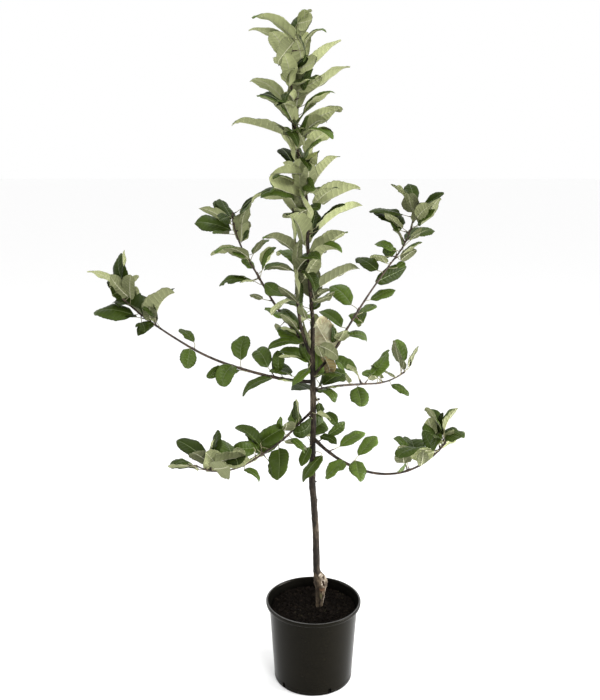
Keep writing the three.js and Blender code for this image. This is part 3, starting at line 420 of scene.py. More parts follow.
# ------------------------------------------------------------------ small helpers
def hermite(xs, ys, x):
    i = np.clip(np.searchsorted(xs, x) - 1, 0, len(xs) - 2)
    sl = np.diff(ys) / np.diff(xs)
    m = np.r_[sl[0], (sl[:-1] + sl[1:]) / 2, sl[-1]]
    h = xs[i + 1] - xs[i]
    t = np.clip((x - xs[i]) / h, 0, 1)
    return (2 * t**3 - 3 * t**2 + 1) * ys[i] + (t**3 - 2 * t**2 + t) * h * m[i] + (3 * t**2 - 2 * t**3) * ys[i + 1] + (t**3 - t**2) * h * m[i + 1]


def heading(bearing, rise):
    b, r = np.radians(bearing), np.radians(rise)
    return np.stack([np.cos(r) * np.cos(b), np.cos(r) * np.sin(b), np.sin(r)], -1)


def unit(v):
    v = np.asarray(v, float)
    return v / (np.linalg.norm(v, axis=-1, keepdims=True) + 1e-12)


def smooth(a, b, x):
    t = np.clip((np.asarray(x, float) - a) / (b - a), 0, 1)
    return t * t * (3 - 2 * t)


def trunk_axis(z_mm):
    z = np.asarray(z_mm, float)
    return np.stack([hermite(TRUNK[:, 0], TRUNK[:, 1], z), hermite(TRUNK[:, 0], TRUNK[:, 2], z), z], -1) * MM


def stem(name, n=400):
    """Points of a stem's axis and their distance along it, in metres. The leader's distance is its height."""
    if name == "trunk":
        z = np.linspace(TRUNK[0, 0], TRUNK[-1, 0], n + 1)
        return trunk_axis(z), z * MM
    start, bearing, length, rises, _, _ = LIMBS[name]
    s = np.linspace(0, 1, n + 1)
    k = len(rises) - 1
    x = np.minimum(s * k, k - 1e-9)
    i = x.astype(int)
    r = np.array(rises, float)
    way = heading(bearing[0] + (bearing[1] - bearing[0]) * s, r[i] * (1 - x + i) + r[i + 1] * (x - i))
    points = np.vstack([[0, 0, 0], np.cumsum((way[1:] + way[:-1]) / 2 * length / n, axis=0)]) * MM + trunk_axis(start)
    return points, s * length * MM


def stem_radius(name, along_mm):
    if name == "trunk":
        return hermite(TRUNK[:, 0], TRUNK[:, 3], np.asarray(along_mm, float)) * MM
    _, _, length, _, root, tip = LIMBS[name]
    s = np.clip(np.asarray(along_mm, float) / length, 0, 1)
    return (tip + (root - tip) * (1 - s) ** 1.15 + 1.6 * np.exp(-s * length / 13)) * MM


def at(points, along, d):
    return np.stack([np.interp(d, along, points[:, j]) for j in range(3)], -1)


class Bag:
    """Gathers vertices, faces and material indices, and makes one mesh object of them."""

    def __init__(self):
        self.v, self.f, self.m, self.count = [], [], [], 0

    def add(self, v, quads=None, tris=None, mats=None, tri_mats=None):
        v = np.asarray(v, float)
        if quads is not None and len(quads):
            self.f.append(np.asarray(quads, np.int64) + self.count)
            self.m.append(np.zeros(len(quads), int) + (0 if mats is None else mats))
        if tris is not None and len(tris):
            self.f.append(np.asarray(tris, np.int64) + self.count)
            self.m.append(np.zeros(len(tris), int) + (0 if tri_mats is None else tri_mats))
        self.v.append(v)
        self.count += len(v)

    def triangles(self):
        return sum(len(f) * (f.shape[1] - 2) for f in self.f)

    def build(self, name, materials, smooth_shade=True):
        v = np.concatenate(self.v)
        sizes = np.concatenate([np.full(len(f), f.shape[1]) for f in self.f])
        loops = np.concatenate([f.ravel() for f in self.f])
        starts = np.r_[0, np.cumsum(sizes)[:-1]]
        me = bpy.data.meshes.new(name)
        me.vertices.add(len(v))
        me.vertices.foreach_set("co", v.astype(np.float32).ravel())
        me.loops.add(len(loops))
        me.loops.foreach_set("vertex_index", loops.astype(np.int32))
        me.polygons.add(len(sizes))
        me.polygons.foreach_set("loop_start", starts.astype(np.int32))
        me.polygons.foreach_set("loop_total", sizes.astype(np.int32))
        for mat in materials:
            me.materials.append(mat)
        me.polygons.foreach_set("material_index", np.concatenate(self.m).astype(np.int32))
        me.polygons.foreach_set("use_smooth", np.full(len(sizes), smooth_shade))
        me.update(calc_edges=True)
        me.validate()
        ob = bpy.data.objects.new(name, me)
        bpy.context.scene.collection.objects.link(ob)
        return ob


def noise3(p, seed, octaves=3):
    """Cheap smooth noise from seeded sines, about -1 to 1, for points in metres scaled by the caller."""
    rng = np.random.default_rng(seed)
    out = np.zeros(len(p))
    amp, total = 1.0, 0.0
    for o in range(octaves):
        for _ in range(4):
            k = unit(rng.normal(size=3)) * (2.0**o) * rng.uniform(0.7, 1.4)
            out += amp * np.sin(p @ k * TAU + rng.uniform(0, TAU)) / 2
        total += amp
        amp *= 0.55
    return out / total / 1.1


def tube(bag, centres, radii, sides, mat=0, caps=(True, True), shape=None):
    """A closed tube round a run of points. shape(k, angles) may scale the radius of ring k."""
    c = np.asarray(centres, float)
    n = len(c)
    t = unit(np.gradient(c, axis=0))
    ref = np.array([0.0, 0, 1]) if abs(t[0, 2]) < 0.8 else np.array([0.0, 1, 0])
    u = unit(np.cross(t[0], ref))
    us = np.zeros((n, 3))
    for k in range(n):
        u = unit(u - (u @ t[k]) * t[k])
        us[k] = u
    vs = np.cross(t, us)
    a = np.arange(sides) * TAU / sides
    r = np.asarray(radii, float).reshape(-1, 1) * (shape(a) if shape is not None else np.ones((n, sides)))
    v = c[:, None] + r[..., None] * (np.cos(a)[None, :, None] * us[:, None] + np.sin(a)[None, :, None] * vs[:, None])
    v = v.reshape(-1, 3)
    i = np.arange(n - 1)[:, None] * sides
    j = np.arange(sides)[None]
    q = np.stack([i + j, i + (j + 1) % sides, i + sides + (j + 1) % sides, i + sides + j], -1).reshape(-1, 4)
    tris = []
    extra = []
    base = len(v)
    if caps[0]:
        extra.append(c[0])
        tris += [(base, (k + 1) % sides, k) for k in range(sides)]
    if caps[1]:
        e = base + len(extra)
        extra.append(c[-1] + t[-1] * r[-1].mean() * 0.6)
        o = (n - 1) * sides
        tris += [(e, o + k, o + (k + 1) % sides) for k in range(sides)]
    if extra:
        v = np.vstack([v, extra])
    bag.add(v, q, np.array(tris) if tris else None, mat, mat)


# ------------------------------------------------------------------ materials
def nodes_of(name):
    m = bpy.data.materials.new(name)
    m.use_nodes = True
    nt = m.node_tree
    return m, nt, nt.nodes, nt.links, nt.nodes["Principled BSDF"]


def ramp(nt, factor, stops):
    r = nt.nodes.new("ShaderNodeValToRGB")
    el = r.color_ramp.elements
    while len(el) < len(stops):
        el.new(0.5)
    for e, (p, c) in zip(el, stops):
        e.position = p
        e.color = (*c, 1)
    nt.links.new(factor, r.inputs[0])
    return r.outputs[0]


def noise_node(nt, scale, detail=4.0, rough=0.55, stretch=None, distortion=0.0):
    co = nt.nodes.new("ShaderNodeTexCoord").outputs["Object"]
    if stretch is not None:
        mp = nt.nodes.new("ShaderNodeMapping")
        mp.inputs["Scale"].default_value = stretch
        nt.links.new(co, mp.inputs[0])
        co = mp.outputs[0]
    n = nt.nodes.new("ShaderNodeTexNoise")
    n.inputs["Scale"].default_value = scale
    n.inputs["Detail"].default_value = detail
    n.inputs["Roughness"].default_value = rough
    n.inputs["Distortion"].default_value = distortion
    nt.links.new(co, n.inputs["Vector"])
    return n.outputs["Fac"]


def bump(nt, height, strength, distance):
    b = nt.nodes.new("ShaderNodeBump")
    b.inputs["Strength"].default_value = strength
    b.inputs["Distance"].default_value = distance
    nt.links.new(height, b.inputs["Height"])
    return b.outputs[0]


def mottled(name, dark, light, scale, rough, spec=0.5, bump_scale=None, bump_strength=0.3, bump_distance=0.0004, rough_spread=0.08, detail=4.0, stretch=None, ends=(0.3, 0.7)):
    m, nt, nodes, links, bsdf = nodes_of(name)
    fac = noise_node(nt, scale, detail, stretch=stretch)
    links.new(ramp(nt, fac, [(ends[0], dark), (ends[1], light)]), bsdf.inputs["Base Color"])
    mr = nodes.new("ShaderNodeMapRange")
    mr.inputs["To Min"].default_value = rough - rough_spread
    mr.inputs["To Max"].default_value = rough + rough_spread
    links.new(fac, mr.inputs["Value"])
    links.new(mr.outputs[0], bsdf.inputs["Roughness"])
    bsdf.inputs["Specular IOR Level"].default_value = spec
    if bump_scale:
        links.new(bump(nt, noise_node(nt, bump_scale, 3.0, stretch=stretch), bump_strength, bump_distance), bsdf.inputs["Normal"])
    return m


def tone(c, k):
    return tuple(min(1, x * k) for x in c)


# Five dark-to-light copies of one upper and one under colour: partly the leaves' own tone, partly painted shade and
# light.
UPPER_BASE, UNDER_BASE = (0.040, 0.0640, 0.0072), (0.280, 0.300, 0.147)
M_UPPER = [mottled("leaf_upper_%d" % i, tone(UPPER_BASE, k * 0.86), tone(UPPER_BASE, k * 1.14), 38, 0.42, 0.05 + 0.05 * i, 900, 0.25, 0.00025) for i, k in enumerate((0.35, 0.64, 1.0, 1.37, 1.88))]
M_UNDER = [mottled("leaf_under_%d" % i, tone(UNDER_BASE, k * 0.93), tone(UNDER_BASE, k * 1.06), 45, 0.75, 0.2, 1100, 0.2, 0.0002) for i, k in enumerate((0.47, 0.72, 0.98, 1.26, 1.64))]
M_VEIN = mottled("leaf_vein_pale", (0.29, 0.31, 0.165), (0.36, 0.37, 0.215), 60, 0.6, 0.3)
M_MIDRIB = mottled("leaf_midrib_cream", (0.50, 0.50, 0.335), (0.60, 0.585, 0.42), 60, 0.6, 0.3)
M_VEIN_UP = mottled("leaf_midrib_green", (0.078, 0.108, 0.027), (0.120, 0.160, 0.050), 60, 0.45, 0.4)
M_PETIOLE = mottled("petiole_pale", (0.21, 0.19, 0.10), (0.32, 0.31, 0.17), 30, 0.55, 0.35, 700, 0.2, 0.0002)
M_WITHER = mottled("leaf_withered", (0.10, 0.070, 0.026), (0.32, 0.25, 0.10), 55, 0.65, 0.3, 800, 0.3, 0.0003, 0.08, 4.0, None, (0.36, 0.64))
M_FADED = mottled("leaf_faded", (0.24, 0.20, 0.11), (0.50, 0.49, 0.33), 42, 0.7, 0.25, 800, 0.3, 0.0003, 0.08, 4.0, None, (0.36, 0.64))
LEAF_MATERIALS = M_UPPER + M_UNDER + [M_VEIN, M_MIDRIB, M_VEIN_UP, M_WITHER, M_FADED]
VEIN, MIDRIB, VEIN_UP, WITHER, FADED = 10, 11, 12, 13, 14


def bark_material():
    m, nt, nodes, links, bsdf = nodes_of("bark_grey_brown")
    blotch = noise_node(nt, 60, 5.0, 0.6, (1, 1, 0.35))
    fine = noise_node(nt, 420, 4.0, 0.6, (1, 1, 0.18))
    mix = nodes.new("ShaderNodeMath")
    mix.operation = "MULTIPLY_ADD"
    mix.inputs[1].default_value = 0.55
    links.new(fine, mix.inputs[0])
    links.new(blotch, mix.inputs[2])
    sub = nodes.new("ShaderNodeMath")
    sub.operation = "SUBTRACT"
    sub.inputs[1].default_value = 0.27
    links.new(mix.outputs[0], sub.inputs[0])
    links.new(ramp(nt, sub.outputs[0], [(0.36, (0.005, 0.0034, 0.0022)), (0.49, (0.0135, 0.0092, 0.0056)), (0.60, (0.042, 0.030, 0.019)), (0.74, (0.14, 0.112, 0.08))]), bsdf.inputs["Base Color"])
    bsdf.inputs["Roughness"].default_value = 0.82
    bsdf.inputs["Specular IOR Level"].default_value = 0.25
    links.new(bump(nt, fine, 0.6, 0.0012), bsdf.inputs["Normal"])
    return m


def graft_material():
    m, nt, nodes, links, bsdf = nodes_of("graft_callus")
    blotch = noise_node(nt, 95, 6.0, 0.65, (1, 1, 0.6), 0.6)
    links.new(ramp(nt, blotch, [(0.36, (0.018, 0.012, 0.007)), (0.46, (0.070, 0.052, 0.035)), (0.56, (0.20, 0.165, 0.125)), (0.68, (0.42, 0.37, 0.31))]), bsdf.inputs["Base Color"])
    bsdf.inputs["Roughness"].default_value = 0.85
    bsdf.inputs["Specular IOR Level"].default_value = 0.2
    links.new(bump(nt, noise_node(nt, 500, 4.0), 0.6, 0.0012), bsdf.inputs["Normal"])
    return m


M_BARK = bark_material()
M_GRAFT = graft_material()
M_SHANK = mottled("rootstock_bark", (0.013, 0.0085, 0.005), (0.105, 0.078, 0.050), 85, 0.85, 0.2, 420, 0.6, 0.0014, 0.04, 6.0, (1, 1, 0.5), (0.40, 0.64))
# Painted shade: near black for the sunken slits in the graft's knob and the hollow of the knot below it.
M_SLIT_SHADE = mottled("wound_dark", (0.010, 0.006, 0.004), (0.04, 0.025, 0.015), 160, 0.95, 0.1, 600, 0.5, 0.001, 0.02)
M_SHOOT = mottled("young_wood", (0.011, 0.0065, 0.0044), (0.085, 0.054, 0.034), 110, 0.6, 0.35, 500, 0.4, 0.0006, 0.06, 4.0, (1, 1, 1), (0.36, 0.66))
M_LENTICEL = mottled("lenticel_pale", (0.24, 0.19, 0.14), (0.38, 0.32, 0.25), 200, 0.8, 0.2)
M_POT = mottled("pot_plastic", (0.0028, 0.0024, 0.0012), (0.0040, 0.0034, 0.0018), 14, 0.24, 0.078, 520, 0.16, 0.0004, 0.03, 3.0, (1, 1, 2.2))
M_POT.node_tree.nodes["Principled BSDF"].inputs["Specular Tint"].default_value = (1.0, 0.94, 0.84, 1)
# Painted shade: the pot's inner wall and floor are coloured darker and duller than its outside, standing in for the
# shade inside the pot.
M_POT_IN_SHADE = mottled("pot_inside_dusty", (0.0012, 0.0010, 0.0006), (0.0030, 0.0026, 0.0016), 40, 0.8, 0.03, 520, 0.2, 0.0004, 0.03, 4.0)
# Painted highlight: the rim's lip is coloured several times lighter than the pot's body, standing in for the thin line
# of light along it.
M_RIM_HIGHLIGHT = mottled("pot_rim_worn", (0.020, 0.019, 0.0175), (0.045, 0.043, 0.040), 90, 0.34, 0.55, 520, 0.2, 0.0004, 0.05, 4.0)
M_TORN = mottled("torn_bark_brown", (0.035, 0.018, 0.009), (0.125, 0.072, 0.040), 120, 0.85, 0.2, 520, 0.6, 0.0012, 0.04, 5.0)
M_ALGAE = mottled("algae_film", (0.030, 0.026, 0.012), (0.075, 0.066, 0.030), 110, 0.85, 0.2, 520, 0.5, 0.001, 0.04, 5.0)
M_SOIL = mottled("potting_mix", (0.0016, 0.0011, 0.0008), (0.0062, 0.0043, 0.0030), 240, 0.95, 0.05, 900, 0.9, 0.003, 0.03, 6.0)
M_CHIP = [
    mottled("chip_dark", (0.002, 0.0014, 0.001), (0.0062, 0.0043, 0.003), 300, 0.9, 0.06, 900, 0.6, 0.001),
    mottled("chip_brown", (0.006, 0.004, 0.0026), (0.013, 0.009, 0.006), 300, 0.9, 0.08, 900, 0.6, 0.001),
    mottled("chip_pale", (0.016, 0.014, 0.008), (0.034, 0.030, 0.017), 300, 0.9, 0.08, 900, 0.6, 0.001),
]

# ------------------------------------------------------------------ one leaf
COLS = np.array([-1, -0.86, -0.6, -0.3, 0, 0, 0, 0.3, 0.6, 0.86, 1.0])
SIDE = np.array([-1, -1, -1, -1, -1, 0, 1, 1, 1, 1, 1])


def leaf_shape(length, width, rng, veins=7, fold=22, recurve=35, twist=0, sweep=0.0, wave=1.0, droop=0.2, tear=0, margin=0.0, curl=0.0):
    """Vertices of a leaf blade along +Y from its base to its tip, its upper side to +Z, and its faces."""
    yv = 0.06 + 0.80 * (np.arange(veins) / (veins - 1)) ** 0.92
    rows, kinds = [0.0], [0]
    d = 0.0052
    for k, y in enumerate(yv):
        rows += [y - d, y, y + d]
        kinds += [1, 2, 3]
        nxt = yv[k + 1] if k + 1 < veins else 0.945
        rows.append((y + nxt) / 2)
        kinds.append(0)
    rows += [0.955, 0.99]
    kinds += [0, 0]
    y0 = np.array(rows)
    kinds = np.array(kinds)
    n = len(y0)
    lean = 0.20 * smooth(0, 0.14, y0) * (1 - y0) ** 0.75
    ym = y0 + lean

    # a narrow blade tapers to both ends, a broad one is full and blunt
    q = min(1.0, max(0.0, (width / length - 0.42) / 0.26))
    e1, e2 = 0.60 - 0.14 * q, 0.68 - 0.20 * q
    peak = e1 / (e1 + e2)

    def half(y):
        f = np.clip(y, 1e-4, 1) ** e1 * (1 - np.clip(y, 0, 0.9999)) ** e2
        f = f / (peak**e1 * (1 - peak) ** e2)
        return f * (1 - (0.24 - 0.12 * q) * smooth(0.72, 0.98, y)) * width / 2

    xm = (1.40 - 1.05 * y0) * 0.001 * min(1.0, length / 0.085)  # half width of the midrib
    asym = 1 + rng.uniform(-0.06, 0.06) * np.array([-1, 1])
    c = np.abs(COLS)[None]
    y = y0[:, None] + lean[:, None] * c**1.2
    w_l, w_r = half(ym) * asym[0], half(ym) * asym[1]
    tooth = 1 + 0.022 * np.where(np.arange(n) % 2, 1, -1) + 0.012 * rng.normal(size=n)
    w = np.where(SIDE[None] < 0, w_l[:, None], w_r[:, None])
    w = np.maximum(w, xm[:, None] + 0.0003)
    rim = np.where(c == 1, tooth[:, None], 1)
    x = SIDE[None] * (xm[:, None] + (w - xm[:, None]) * c * np.where(c == 1, rim, 1))
    x[:, 5] = 0
    if tear:  # a bite out of one edge
        side = 0 if tear < 0 else 10
        hit = np.abs(y0 - 0.55) < 0.09
        for s, amount in ((0, 0.62), (1, 0.8)):
            col = side + (s if side == 0 else -s)
            x[hit, col] *= amount
    cx = np.abs(x) / (w + 1e-9)
    # the blade: folded along the midrib, the outer parts falling away, a wavy edge and quilting between the veins
    fold_t = math.tan(math.radians(fold)) * (1 - 0.45 * y)
    z = fold_t * (np.sqrt(x**2 + (0.003) ** 2) - 0.003) - droop * w * cx**2.4
    ph = rng.uniform(0, TAU, 4)
    z -= margin * w * smooth(0.6, 1.0, cx)
    z += wave * 0.0016 * (width / 0.05) * cx**1.6 * (np.sin(y * 11 + ph[0] + SIDE[None] * 0.8) + 0.6 * np.sin(y * 19 + ph[1] - SIDE[None]))
    between = np.where(np.isin(kinds, [0]), 1.0, 0.0)
    between[0] = between[-1] = between[-2] = 0
    z += 0.0007 * between[:, None] * np.sin(math.pi * np.clip(cx, 0, 1)) * (width / 0.05)
    # bend along the midrib, sampled finely and read back at every point
    s = np.linspace(0, 1.06, 90)
    theta = math.radians(recurve) * np.clip(s, 0, 1) ** 1.5 + math.radians(curl) * smooth(0.78, 1.0, s) + math.radians(rng.uniform(-3, 3)) * np.sin(s * 6)
    ds = s[1] - s[0]
    my = np.r_[0, np.cumsum(np.cos((theta[1:] + theta[:-1]) / 2) * ds)]
    mz = -np.r_[0, np.cumsum(np.sin((theta[1:] + theta[:-1]) / 2) * ds)]
    mx = sweep * np.sin(s * math.pi * 0.9) * 0.9
    end = np.array([np.interp(0.99, s, my), np.interp(0.99, s, mz)])
    tilt = math.atan2(-end[1], end[0])
    scale = length / np.hypot(*end)
    ang = np.interp(y, s, theta) - tilt
    py = np.interp(y, s, my)
    pz = np.interp(y, s, mz)
    cy, sy = math.cos(tilt), math.sin(tilt)
    py, pz = py * cy - pz * sy, py * sy + pz * cy
    py, pz, px = py * scale, pz * scale, np.interp(y, s, mx) * length
    tw = math.radians(twist) * (y - 0.35)

    def place(x, z):
        xr = x * np.cos(tw) + z * np.sin(tw)
        zr = -x * np.sin(tw) + z * np.cos(tw)
        return np.stack([px + xr, py + zr * np.sin(ang), pz + zr * np.cos(ang)], -1)

    th = 0.00022
    ridge = np.where(kinds == 2, 1.0, 0.0)[:, None] * (1 - cx) ** 0.5
    top_z = z + th
    top_z[:, 5] -= 0.0004
    top_z -= 0.00025 * ridge
    bot_z = z - th - 0.00042 * ridge
    bot_z[:, 5] -= 0.0011 * (1 - 0.7 * y0) * min(1.0, length / 0.085)
    bot_z[:, 4] -= 0.00015
    bot_z[:, 6] -= 0.00015
    edge = (z[:, [0]], z[:, [10]])
    top_z[:, [0]], top_z[:, [10]] = edge
    top = place(x, top_z)
    bot = place(x, bot_z)[:, 1:-1]
    v = np.concatenate([top.reshape(-1, 3), bot.reshape(-1, 3)])
    ti = np.arange(n * 11).reshape(n, 11)
    bi = np.empty((n, 11), int)
    bi[:, 1:-1] = n * 11 + np.arange(n * 9).reshape(n, 9)
    bi[:, 0], bi[:, 10] = ti[:, 0], ti[:, 10]
    vein_gap = np.isin(kinds[:-1], [1, 2])  # the two gaps that make a side vein

    def grid(idx, flip):
        a, b, c_, d_ = idx[:-1, :-1], idx[:-1, 1:], idx[1:, 1:], idx[1:, :-1]
        q = np.stack([a, b, c_, d_] if not flip else [a, d_, c_, b], -1)
        return q.reshape(-1, 4)

    col = np.arange(10)
    mid = np.isin(col, [4, 5])
    inner = (col >= 1) & (col <= 8)
    is_vein = (vein_gap[:, None] & inner[None]) | mid[None]
    up = np.where(mid[None] & np.ones((n - 1, 1), bool), 1, 0)
    q_top, q_bot = grid(ti, False), grid(bi, True)
    kind_top = up.ravel()  # 1 where the midrib shows on the upper side
    kind_bot = np.where(mid[None] & np.ones((n - 1, 1), bool), 2, is_vein.astype(int)).ravel()
    caps_q, caps_t = [], []
    for r, flip in ((0, True), (n - 1, False)):
        for j in range(10):
            a, b, c2, d2 = ti[r, j], ti[r, j + 1], bi[r, j + 1], bi[r, j]
            f = [a, b, c2, d2] if flip is False else [b, a, d2, c2]
            f = list(dict.fromkeys(f))
            f = f[::-1] if False else f
            (caps_q if len(f) == 4 else caps_t).append(f)
    return v, q_top, q_bot, kind_top, kind_bot, np.array(caps_q), np.array(caps_t)


def add_leaf(bag, base, way, normal, length, width, rng, tone_and_shade_up, tone_and_shade_under, aged=None, **shape):
    v, qt, qb, kt, kb, cq, ct = leaf_shape(length, width, rng, **shape)
    x = unit(np.cross(way, normal))
    z = np.cross(x, way)
    rot = np.stack([x, way, z], 0)
    up, un = (tone_and_shade_up, 5 + tone_and_shade_under) if aged is None else (aged, aged)
    m_top = np.where(kt == 1, VEIN_UP, up)
    m_bot = np.where(kb == 2, MIDRIB, np.where(kb == 1, VEIN if aged is not None else min(un + 1, 9), un))
    q = np.vstack([qt, qb, cq])
    m = np.r_[m_top, m_bot, np.full(len(cq), un)]
    bag.add(v @ rot + base, q, ct, m, un)


# ------------------------------------------------------------------ the crown
def blade_frame(bearing, rise, roll):
    a = heading(bearing, rise)
    side = unit(np.cross(a, [0, 0, 1.0]))
    n0 = np.cross(side, a)
    r = math.radians(roll)
    return a, math.cos(r) * n0 + math.sin(r) * side


def petiole(bag, start, out, base, way, r0, r1, rng):
    """A short stalk that leaves the stem along out and runs into the blade along way."""
    d = np.linalg.norm(base - start)
    p1 = start + out * d * 0.4
    p2 = base - way * d * 0.38
    t = np.linspace(0, 1, 9)[:, None]
    c = (1 - t) ** 3 * start + 3 * (1 - t) ** 2 * t * p1 + 3 * (1 - t) * t**2 * p2 + t**3 * (base + way * 0.003)
    r = r0 + (r1 - r0) * t[:, 0] ** 0.6
    r[0] *= 1.5
    tube(bag, c, r, 6)


STEMS = {name: stem(name) for name in ["trunk", *LIMBS]}
rng_all = np.random.default_rng(20240611)
GROUPS = {}  # which joined piece a stem's leaves go to
for key, group in {
    "trunk": "leader", "second_leader": "leader", "bough_back": "back", "bough_left_low": "left_low", "bough_left_mid": "left_low",
    "bough_left_high": "left_high", "bough_right_low": "right_low", "bough_right_mid": "right_low", "bough_right_high": "right_high",
}.items():
    GROUPS[key] = group
leaf_bags = {g: Bag() for g in ("leader_low", "leader_mid", "leader_high", "left_low", "left_high", "right_low", "right_high", "back")}
stalk_bag = Bag()
SPURS = []
node_marks = {name: [] for name in STEMS}  # where leaves stood or stand, for the swellings of the stems


AGED = {("trunk", 882): WITHER, ("bough_right_high", 71): FADED}  # the two leaves that have turned


def grow_leaf(name, along, pet, blade, number, form=None):
    rng = np.random.default_rng(1000 * (list(STEMS).index(name) + 1) + number)
    points, dist = STEMS[name]
    p = at(points, dist, along * MM)
    t = unit(at(points, dist, along * MM + 0.004) - at(points, dist, along * MM - 0.004))
    pb, pr, pl = pet
    bb, br, bl, roll = blade
    out = heading(pb, pr)
    base = p + out * pl * MM
    a, n = blade_frame(bb, br, roll)
    radial = unit(out - (out @ t) * t)
    start = p + radial * stem_radius(name, along) * 0.75
    leave = unit(radial + t * 0.5)
    if pl > 25:  # a leaf that stands far off its stem ends a short spur
        SPURS.append((name, along, out, (pl - 16) * MM))
        start, leave = p + out * (pl - 17) * MM, out
    length = bl * MM
    z = base[2]
    young = name in ("trunk", "second_leader") and z > 1.02
    long_leaf = length > 0.07
    ratio = rng.uniform(0.44, 0.52) if long_leaf else rng.uniform(0.56, 0.68)
    width = length * ratio
    fold = rng.uniform(24, 34) if young else rng.uniform(10, 20) if long_leaf else rng.uniform(6, 14)
    recurve = rng.uniform(34, 62) if young else rng.uniform(20, 44) if long_leaf else rng.uniform(12, 28)
    twist, sweep = rng.uniform(-26, 26), rng.uniform(-0.05, 0.05)
    if form is not None:
        ratio, fold, recurve, twist, sweep = form
        width = length * ratio
    # The spray's shades, partly own tone and partly painted shade and light, then a seeded step up or down for some
    # leaves.
    up, under = 2, 2
    for start_mm, u, d in SPRAYS.get(name, ()):
        if along >= start_mm - 1:
            up, under = u, d
    up = int(np.clip(up + rng.choice([-1, 0, 0, 0, 0, 1]), 0, 4))
    under = int(np.clip(under + rng.choice([-1, 0, 0, 0, 0, 1]), 0, 4))
    group = GROUPS[name]
    if group == "leader":
        group = "leader_high" if z > 1.30 else "leader_mid" if z > 1.05 else "leader_low"
    add_leaf(leaf_bags[group], base, a, n, length, width, rng, up, under, veins=8 if long_leaf else 6, fold=fold, recurve=recurve,
             aged=AGED.get((name, round(along))) if form is not None else None, margin=rng.uniform(0.17, 0.23) if young else rng.uniform(0.08, 0.12),
             curl=rng.uniform(26, 38) if young else rng.uniform(10, 20), twist=twist, sweep=sweep, wave=rng.uniform(0.6, 1.5), tear=(rng.random() < 0.05) * rng.choice([-1, 1]))
    petiole(stalk_bag, start, leave, base, a, 0.0010, 0.0008, rng)
    u, v = stem_frame(t)
    node_marks[name].append((along, math.atan2(radial @ v, radial @ u)))


def stem_frame(t):
    u = unit(np.cross([0, 1.0, 0], t)) if abs(t[1]) < 0.9 else unit(np.cross([1.0, 0, 0], t))
    return u, np.cross(t, u)


for name, rows in LEAVES.items():
    for k, row in enumerate(rows):
        grow_leaf(name, row[0], row[1:4], row[4:8], k, row[8:])

# The nodes that carry none of the leaves above follow the plain rule: a two-fifths spiral, each leaf standing off the
# stem and lifting to the light. BARE lists the nodes of each stem that have shed theirs.
RULE = {
    # first and last node, spacing, blade length, lean off the stem, first turn
    "trunk": (640, 1585, 23, 92, 46, 20),
    "second_leader": (80, 416, 24, 74, 48, 80),
    "bough_left_low": (70, 355, 22, 66, 48, 40),
    "bough_right_low": (60, 384, 22, 64, 48, 10),
    "bough_left_mid": (80, 530, 24, 68, 48, 130),
    "bough_right_mid": (70, 366, 24, 60, 48, 70),
    "bough_right_high": (70, 475, 24, 70, 46, 0),
    "bough_left_high": (60, 407, 23, 72, 46, 90),
    "bough_back": (50, 328, 21, 76, 46, 30),
}
BARE = {
    "trunk": (0, 1, 2, 3, 4, 5, 6, 7, 8, 9, 10, 11, 12, 13, 14, 15, 16, 17, 18, 19, 20, 21, 22, 23, 24, 25, 26, 27, 28, 29, 30, 31, 32, 33, 34, 35, 36, 37, 38, 39, 40, 41),
    "second_leader": (0, 1, 2, 3, 4, 5, 6, 7, 8, 9, 10, 11, 12, 13, 14),
    "bough_left_low": (1, 2, 4, 5, 6, 7, 8, 9, 10, 11, 12),
    "bough_right_low": (0, 1, 2, 3, 4, 5, 6, 7, 8, 9, 10, 11, 12, 13, 14),
    "bough_left_mid": (0, 1, 2, 3, 4, 6, 7, 8, 9, 10, 11, 12, 13, 14, 15, 16, 17, 18),
    "bough_right_mid": (0, 1, 2, 3, 4, 5, 6, 7, 8, 9, 10, 11, 12),
    "bough_right_high": (0, 1, 2, 3, 4, 5, 6, 7, 8, 9, 10, 11, 12, 13, 14, 15, 16),
    "bough_left_high": (0, 1, 2, 3, 4, 5, 6, 7, 8, 9, 10, 11, 12, 13, 14, 15),
    "bough_back": (0, 1, 2, 3, 4, 5, 6, 7, 9, 11, 12),
}


def rule_leaf(name, k):
    first, last, step, size, off, turn = RULE[name]
    rng = np.random.default_rng(9000 + 131 * list(STEMS).index(name) + k)
    along = first + step * k + rng.uniform(-4, 4)
    points, dist = STEMS[name]
    t = unit(at(points, dist, along * MM + 0.004) - at(points, dist, along * MM - 0.004))
    u, v = stem_frame(t)
    phi = math.radians(turn + 144 * k + rng.uniform(-14, 14))
    radial = math.cos(phi) * u + math.sin(phi) * v
    lean = math.radians(off + rng.uniform(-8, 8))
    way = unit(radial * math.sin(lean) + t * math.cos(lean) + np.array([0, 0, 0.25]))
    way[2] = min(way[2], 0.86)
    if name == "trunk" and along < 900:
        way = unit(way + [0, 0, -0.5])
    way = unit(way)
    pet = unit(way + t * 0.4)
    size = size * rng.uniform(0.86, 1.1)
    if along > last - 40:
        size *= 0.8
    deg = lambda w: (math.degrees(math.atan2(w[1], w[0])), math.degrees(math.asin(max(-1, min(1, w[2])))))
    pb, pr = deg(pet)
    bb, br = deg(unit(way + [0, 0, -0.22]))
    return along, (pb, pr, rng.uniform(17, 25) * (1 if size > 70 else 0.8)), (bb, br, size, rng.uniform(-25, 25))


RULE_LEAVES = []
for name, (first, last, step, *_r) in RULE.items():
    for k in range(int((last - first) / step) + 1):
        if k in BARE.get(name, ()):
            continue
        along, pet, blade = rule_leaf(name, k)
        RULE_LEAVES.append((name, k, along, pet, blade))
        grow_leaf(name, along, pet, blade, 500 + k)

